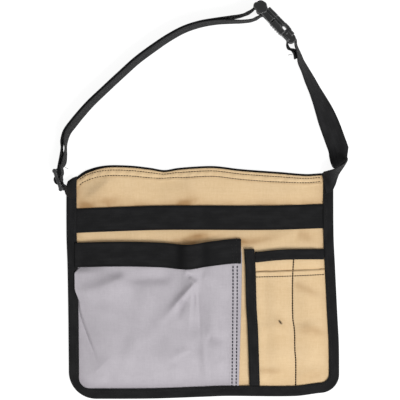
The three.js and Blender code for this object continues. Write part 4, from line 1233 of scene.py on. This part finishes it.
def strap(name, grid, node):
    """Webbing with thin selvedges, sewn or looped round a hard piece."""
    edge = np.abs(STRAP_SHARES)
    thick = WEBBING * (1 - SELVEDGE["thinner"] * ease(edge, SELVEDGE["start"], SELVEDGE["reach"]))
    soil = DIRT_AND_SHADE["strap_edge"] * hump(edge, SELVEDGE["line"], SELVEDGE["line_width"])
    piece = cloth(name, grid, thick, "black_webbing", strip_uv(grid), {"soil": soil})
    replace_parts(piece, node)
    length = round(lengths(grid[:, len(STRAP_SHARES) // 2])[-1] * MM, 3)


long_stretches = [
    leaning(**STRAP_CORNER),
    on_axes(GLIDE_AXES, STRAP_WEAVE),
    arch_layer(0),
    on_axes(BUCKLE_AXES, STRAP_TURN, STRAND_SIDE),
    reverse(arch_layer(1)),
    on_axes(GLIDE_AXES, STRAP_END),
]
short_stretches = [leaning(**SHORT_CORNER), on_axes(BUCKLE_AXES, SHORT_LOOP, LOOP_SIDE)]
strap("waist_strap_webbing", strap_grid(long_stretches, 7), "waist_strap")
strap("short_strap_webbing", strap_grid(short_stretches, 8), "short_strap")

# Moulded pieces: blocks and rods joined by a fine remesh, then smoothed; their edges are painted lighter
# grey, as wear and painted highlight.
# A row of a table whose heights lie above the middle stands for its mirror image too.
EDGE_WEAR_AND_HIGHLIGHT = {"passes": 2, "full": 0.09}
BLOCK_COLUMNS = "x0 x1 y0 y1 z0 z1"
ROD_COLUMNS = "x y z0 z1 radius flatten sides"
BOX_FACES = ((0, 2, 3, 1), (4, 5, 7, 6), (0, 1, 5, 4), (2, 6, 7, 3), (0, 4, 6, 2), (1, 3, 7, 5))


def block(x, y, z):
    """Corners and faces of a box given by its ranges along, across and up."""
    return np.array([(a, b, c) for c in z for b in y for a in x], float), BOX_FACES


def rod(x, y, z, radius, flatten, sides):
    """A round bar up a range of z at a place along and across."""
    turn = np.linspace(0, 2 * math.pi, sides, endpoint=False)
    ring = np.stack([x + radius * np.cos(turn), y + flatten * radius * np.sin(turn)], axis=1)
    points = np.concatenate([np.column_stack([ring, np.full(sides, level)]) for level in z])
    around = np.arange(sides)
    walls = [(i, (i + 1) % sides, sides + (i + 1) % sides, sides + i) for i in around]
    return points, walls + [tuple(around[::-1]), tuple(around + sides)]


def levels(z0, z1):
    """A range of heights, and its mirror image if it lies above the middle."""
    return [(z0, z1), (-z1, -z0)] if z0 > 0 else [(z0, z1)]


def blocks(rows):
    return [
        block((x0, x1), (y0, y1), level)
        for x0, x1, y0, y1, z0, z1 in zip(*rows.values())
        for level in levels(z0, z1)
    ]


def rods(rows):
    return [
        rod(x, y, level, radius, flatten, int(sides))
        for x, y, z0, z1, radius, flatten, sides in zip(*rows.values())
        for level in levels(z0, z1)
    ]


def edge_wear_and_highlight(mesh, voxel):
    """How far each point of a fine mesh stands out from its neighbours, from 0 to 1."""
    count = len(mesh.vertices)
    points, normals = np.empty(count * 3), np.empty(count * 3)
    pairs = np.empty(len(mesh.edges) * 2, int)
    mesh.vertices.foreach_get("co", points)
    mesh.vertex_normals.foreach_get("vector", normals)
    mesh.edges.foreach_get("vertices", pairs)
    one, two = pairs.reshape(-1, 2).T
    links = np.bincount(np.concatenate([one, two]), minlength=count)

    def around(values):
        total = np.zeros_like(values)
        np.add.at(total, one, values[two])
        np.add.at(total, two, values[one])
        return total / links.reshape(-1, *[1] * (values.ndim - 1))

    points = points.reshape(-1, 3)
    standing_out = ((points - around(points)) * normals.reshape(-1, 3)).sum(axis=1) / voxel
    for _ in range(EDGE_WEAR_AND_HIGHLIGHT["passes"]):
        standing_out = around(standing_out)
    return ease(standing_out, 0, EDGE_WEAR_AND_HIGHLIGHT["full"])


def moulding(name, shapes, axes, node, voxel, passes, least_wear_and_highlight=0.0):
    """One moulded piece from overlapping shapes in the axes of a standing piece."""
    points, faces, start = [], [], 0
    for corners, sides in shapes:
        points.append(corners)
        faces += [tuple(int(i) + start for i in side) for side in sides]
        start += len(corners)
    points = axes["origin"] + np.concatenate(points) @ np.stack([axes["along"], axes["across"], axes["up"]])
    mesh = bpy.data.meshes.new(name + "_blocks")
    mesh.from_pydata((points * MM).tolist(), [], faces)
    rough = placed(name + "_blocks", mesh)
    remesh = rough.modifiers.new("join", "REMESH")
    remesh.mode = "VOXEL"
    remesh.voxel_size = voxel * MM
    smoothing = rough.modifiers.new("ease", "SMOOTH")
    smoothing.factor = 0.5
    smoothing.iterations = passes
    depsgraph = bpy.context.evaluated_depsgraph_get()
    final = bpy.data.meshes.new_from_object(rough.evaluated_get(depsgraph))
    bpy.data.objects.remove(rough)
    final.name = name
    # Painted highlight and wear on the edges, with a least share all over
    set_values(final, "wear_and_highlight", np.maximum(edge_wear_and_highlight(final, voxel * MM), least_wear_and_highlight))
    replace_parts(riding_piece(name, final, "black_plastic"), node)


half_slot, half_width = GLIDE_SIZE["slot_width"] / 2, GLIDE_SIZE["width"] / 2
near, end = GLIDE_SIZE["middle"] / 2, GLIDE_SIZE["length"] / 2
far = near + GLIDE_SIZE["slot"]
half_thick = GLIDE_SIZE["thickness"] / 2
bar, bar_end = (far + end) / 2, half_width - GLIDE_SIZE["bar_trim"]
bar_form = (end - far) / 2 + GLIDE_SIZE["bar_extra"], GLIDE_SIZE["bar_flatten"], 20
GLIDE_BLOCKS = table(BLOCK_COLUMNS, (-end, end, -half_thick, half_thick, half_slot, half_width))
GLIDE_RODS = table(
    ROD_COLUMNS,
    (-end, 0, half_slot, half_width, GLIDE_SIZE["knob"], 1, 20),
    (end, 0, half_slot, half_width, GLIDE_SIZE["knob"], 1, 20),
    (0, 0, -half_slot - 1, half_slot + 1, near, 1, 20),
    (-bar, 0, -bar_end, bar_end, *bar_form),
    (bar, 0, -bar_end, bar_end, *bar_form),
)
glide_shapes = blocks(GLIDE_BLOCKS) + rods(GLIDE_RODS)
# The slider gets a painted highlight all over
moulding("tri_glide_moulding", glide_shapes, GLIDE_AXES, "tri_glide", voxel=0.35, passes=5, least_wear_and_highlight=0.3)

# Prong half: a ladder of two bars with round ends, a base with a slit along one side, a guide and two prongs
MALE_BLOCKS = table(
    BLOCK_COLUMNS,
    (-36.1, -10, -2.1, 2.1, 13.2, 14.5),
    (-26.0, -22.0, -2.0, 2.0, -13.4, 13.4),
    (-18.4, -10.4, -2.1, 2.1, -14.5, 14.5),
    (-17.6, -10.4, -5.5, 2.2, -15.4, 15.4),
    (-17.6, -10.0, 4.4, 8.8, -15.2, 15.2),
    (-17.6, -10.4, 1.6, 5.0, -9, 9),
    (-27.0, -16.6, -5.4, 2.2, 13.2, 15.4),
    (-24.6, -16.6, 4.4, 8.6, 13.2, 15.2),
    (-23.4, -10.4, 1.6, 5.0, 13.2, 13.9),
    (-10.5, 5.4, -2.3, 2.3, -2.5, 2.5),
    (-11.5, 5.2, -2.3, 2.3, 10.4, 13.6),
    (-2, 4.6, -2.3, 2.3, 12.6, 16.2),
)
MALE_RODS = table(
    ROD_COLUMNS,
    (-36.6, -1.8, 13.2, 15.8, 4.6, 1, 28),
    (-31.6, 4.0, 13.2, 15.8, 4.6, 1, 28),
    (-30.0, -3.2, 13.2, 15.8, 4.6, 1, 28),
    (-29.0, 1.6, 13.2, 15.8, 5.4, 1, 28),
    (-35.4, 2.6, 13.2, 15.8, 3.2, 1, 28),
    (-34.0, 0, -15.4, 15.4, 2.1, 1, 20),
    (-24.0, 0, -14.2, 14.2, 2.1, 0.96, 20),
)
male_shapes = blocks(MALE_BLOCKS) + rods(MALE_RODS)
moulding("buckle_male_moulding", male_shapes, BUCKLE_AXES, "buckle_male", voxel=0.38, passes=4)

# Socket half: two ribbed plates, the outer one bowed, side rails with windows for the prongs, a nose, a bar
FEMALE_BLOCKS = table(
    BLOCK_COLUMNS,
    (-10.0, 10.5, -6.0, -2.9, -16.2, 16.2),
    (-9.6, 4.4, 4.4, 8.6, -16.2, 16.2),
    (3.6, 10.5, 5.2, 9.2, -16.0, 16.0),
    (9.6, 14.4, -5.4, 8.8, -16.2, 16.2),
    (-8.4, 2.6, -6.0, 2.2, 14.2, 16.9),
    (2.0, 10.4, -6.0, 1.4, 14.2, 16.9),
    (-10.1, 3.6, 2.5, 4.8, 12.4, 13.6),
    (12.6, 21.6, -5.0, -1.6, 14.2, 16.9),
    (12.6, 20.6, 3.0, 7.8, 14.2, 16.9),
    (12.6, 21.6, -2.0, 3.4, 14.2, 15.6),
    (20.6, 25.6, -2.8, 2.8, -14.4, 14.4),
)
FEMALE_RODS = table(
    ROD_COLUMNS,
    (23.2, 0, -15.4, 15.4, 2.9, 0.98, 20),
    (22.0, 0.2, 14.2, 16.2, 6.0, 1, 32),
)
female_shapes = blocks(FEMALE_BLOCKS) + rods(FEMALE_RODS)
for rib in np.linspace(-7.0, 7.6, 5):
    for side in ((-6.8, -5.8), (7.6, 8.8)):
        female_shapes.append(block((rib - 0.8, rib + 0.8), side, (-12.5, 12.5)))
moulding("buckle_female_moulding", female_shapes, BUCKLE_AXES, "buckle_female", voxel=0.38, passes=4)

# Stitches and loose threads
THREAD_SIDES = 6
STITCH = table(
    "along height girth",
    (-0.5, -0.9, 0.55),
    (-0.36, 0.15, 0.95),
    (-0.12, 0.5, 1.0),
    (0.12, 0.5, 1.0),
    (0.36, 0.15, 0.95),
    (0.5, -0.9, 0.55),
)


def thread(line, across, up, girths, place, radius):
    """Points, faces and weave places of a closed round thread along a line."""
    turn = np.linspace(0, 2 * math.pi, THREAD_SIDES, endpoint=False)
    ring = across[:, None, :] * np.cos(turn)[:, None] + up[:, None, :] * np.sin(turn)[:, None]
    points = line[:, None, :] + np.reshape(girths, (-1, 1, 1)) * ring
    index = np.arange(len(line) * THREAD_SIDES).reshape(-1, THREAD_SIDES)
    onward = np.roll(index, -1, axis=1)
    walls = np.stack([index[:-1], index[1:], onward[1:], onward[:-1]], axis=-1).reshape(-1, 4)
    faces = walls.tolist() + [index[0].tolist(), index[-1, ::-1].tolist()]
    uv = np.stack(np.broadcast_arrays(place[:, None], radius * turn), axis=-1)
    return points.reshape(-1, 3), faces, uv.reshape(-1, 2)


def stitched(name, lines, finish, pitch, length, radius=0.33):
    """Rows of short arched stitches along lines of points and the cloth's normals there."""
    points, faces, uv, start = [], [], [], 0
    for line, normals in lines:
        along = lengths(line)
        for centre in np.arange(pitch / 2, along[-1] - pitch / 2, pitch):
            place = centre + STITCH["along"] * length
            middle, up = (
                np.stack([np.interp(place, along, column) for column in columns.T], axis=1)
                for columns in (line, normals)
            )
            up = unit(up)
            across = unit(np.cross(unit(np.gradient(middle, axis=0)), up))
            middle = middle + up * (STITCH["height"] * radius)[:, None]
            made = thread(middle, across, up, STITCH["girth"] * radius, place, radius)
            points.append(made[0])
            faces += [[start + i for i in face] for face in made[1]]
            uv.append(made[2])
            start += len(made[0])
    woven_piece(name, np.concatenate(points), faces, finish, np.concatenate(uv), {})


def over_cloth(x, y, face, step=0.5):
    """A line on a cloth's upper face, with its normals."""
    slope_x = (face(x + step, y) - face(x - step, y)) / (2 * step)
    slope_y = (face(x, y + step) - face(x, y - step)) / (2 * step)
    normals = unit(np.stack([-slope_x, -slope_y, np.ones_like(x)], axis=1))
    return np.stack([x, y, face(x, y)], axis=1), normals


def hem_face(x, y):
    return front_under(x, y) + front_relief(x, y) + HEM


def seam_face(x, y):
    return grey_under(x, y) + CANVAS + 0.1


def grey_band_face(x, y):
    return grey_face(x, y) + GREY_BAND["clearance"] + TAPE


def band_seam_face(x, y):
    return grey_band_face(x, y) - SEAM_SINK["band"]


hem_x = np.linspace(-153, 150, 260)
hem_lines = [over_cloth(hem_x, top_edge(hem_x) - row, hem_face) for row in hem_rows(hem_x)]
stitched("hem_stitches", hem_lines, "dark_thread", pitch=3.4, length=3.1, radius=0.52)
seam_y = np.linspace(-132, 24, 120)
seam_lines = [over_cloth(seam_line(row, seam_y), seam_y, seam_face) for row in SEAM_ROWS]
stitched("grey_pocket_stitches", seam_lines, "blue_black_thread", pitch=4.25, length=3.5, radius=0.72)
band_y = np.linspace(23, 52, 30)
band_lines = [over_cloth(grey_right(band_y) - row, band_y, band_seam_face) for row in SEAM_ROWS]
stitched("grey_band_stitches", band_lines, "black_thread", pitch=4.25, length=3.3, radius=0.5)
tuck_x = np.linspace(67, 154, 70)
tuck_seam = over_cloth(tuck_x, tuck_line(tuck_x) - TOOL_HEM["drop"], tool_face)
stitched("tool_hem_stitches", [tuck_seam], "dark_thread", pitch=3.2, length=3.1, radius=0.55)
split_y = np.linspace(-133, 31, 120)
split_seam = over_cloth(tool_split(split_y), split_y, tool_face)
stitched("tool_split_stitches", [split_seam], "dark_thread", pitch=3.1, length=3.3, radius=0.8)
binding_line = on_tape(path, into, 9.6, binding_face)
stitched("edge_binding_stitches", [binding_line], "black_thread", pitch=3.8, length=2.8)
side_face = pocket_face(side_points, RIGHTWARDS)
tape_lines = [on_tape(side_points, RIGHTWARDS, depth, side_face) for depth in (2.6, 10.2)]
tape_lines.append(on_tape(top_points, DOWNWARDS, 10.2, pocket_face(top_points, DOWNWARDS)))
stitched("pocket_tape_stitches", tape_lines, "black_thread", pitch=3.6, length=2.6)


def loose_thread(name, radius, *points):
    """A thin end of thread through a few points."""
    line = through(points, 8)
    run = unit(np.gradient(line, axis=0))
    across = unit(np.cross(run, np.array([0.2, 0.3, 1.0])))
    points, faces, uv = thread(line, across, np.cross(across, run), radius, lengths(line), radius)
    woven_piece(name, points, faces, "black_thread", uv, {})


nub = float(grey_band_face(43.0, 51.0))
loose_thread(
    "strap_thread_end", 0.3,
    (-173, 144.5, 20), (-170.5, 143.6, 20.5), (-168.4, 142.2, 19.5), (-166.6, 141.4, 17.5),
)
loose_thread("tail_thread_end", 0.3, (112.5, 283.0, 24), (109.4, 283.4, 24.5), (107.2, 282.6, 23.6))
loose_thread(
    "band_thread_end", 0.45,
    (43.2, 51.0, nub - 0.3), (43.0, 53.0, nub + 0.5), (43.4, 55.0, nub - 0.6),
)

# Stage, light and camera
VIEW = {"x": -2.5, "y": 102.5, "plane": 4.0, "height": 4000.0, "field": 500.0}
FLOOR = {"half": 4.0, "level": -0.0005, "shade": 0.3, "glow": 0.88}
WORLD_STRENGTH = 0.42
LIGHT = {"place": (1.7, -2.25, 3.4), "aim": (0.0, 0.1, 0.0), "size": 2.4, "power": 164.0}

half, level = FLOOR["half"], FLOOR["level"]
floor_mesh = bpy.data.meshes.new("floor")
floor_mesh.from_pydata(
    [(-half, -half, level), (half, -half, level), (half, half, level), (-half, half, level)],
    [], [(0, 1, 2, 3)],
)
floor = placed("floor", floor_mesh)
floor_finish = Finish("pale_floor", roughness=0.95, specular=0.0)
floor_finish.shade("Base Color", (*[FLOOR["shade"]] * 3, 1))
floor_finish.shade("Emission Color", (1, 1, 1, 1))
floor_finish.shade("Emission Strength", FLOOR["glow"])
floor_mesh.materials.append(FINISHES["pale_floor"])

scene = bpy.context.scene
scene.view_settings.view_transform = "Standard"
scene.view_settings.look = "None"
world = bpy.data.worlds.new("studio")
world.use_nodes = True
world.node_tree.nodes["Background"].inputs["Color"].default_value = (1.0, 1.0, 1.0, 1.0)
world.node_tree.nodes["Background"].inputs["Strength"].default_value = WORLD_STRENGTH
scene.world = world

light = bpy.data.lights.new("key_light", "AREA")
light.shape = "SQUARE"
light.size = LIGHT["size"]
light.energy = LIGHT["power"]
aim = (Vector(LIGHT["aim"]) - Vector(LIGHT["place"])).to_track_quat("-Z", "Y")
placed("key_light", light).matrix_world = Matrix.Translation(LIGHT["place"]) @ aim.to_matrix().to_4x4()

camera = bpy.data.cameras.new("camera")
camera.sensor_fit = "HORIZONTAL"
camera.angle = 2 * math.atan(VIEW["field"] / 2 / VIEW["height"])
scene.camera = placed("camera", camera)
scene.camera.location = (VIEW["x"] * MM, VIEW["y"] * MM, (VIEW["plane"] + VIEW["height"]) * MM)

bpy.context.view_layer.update()
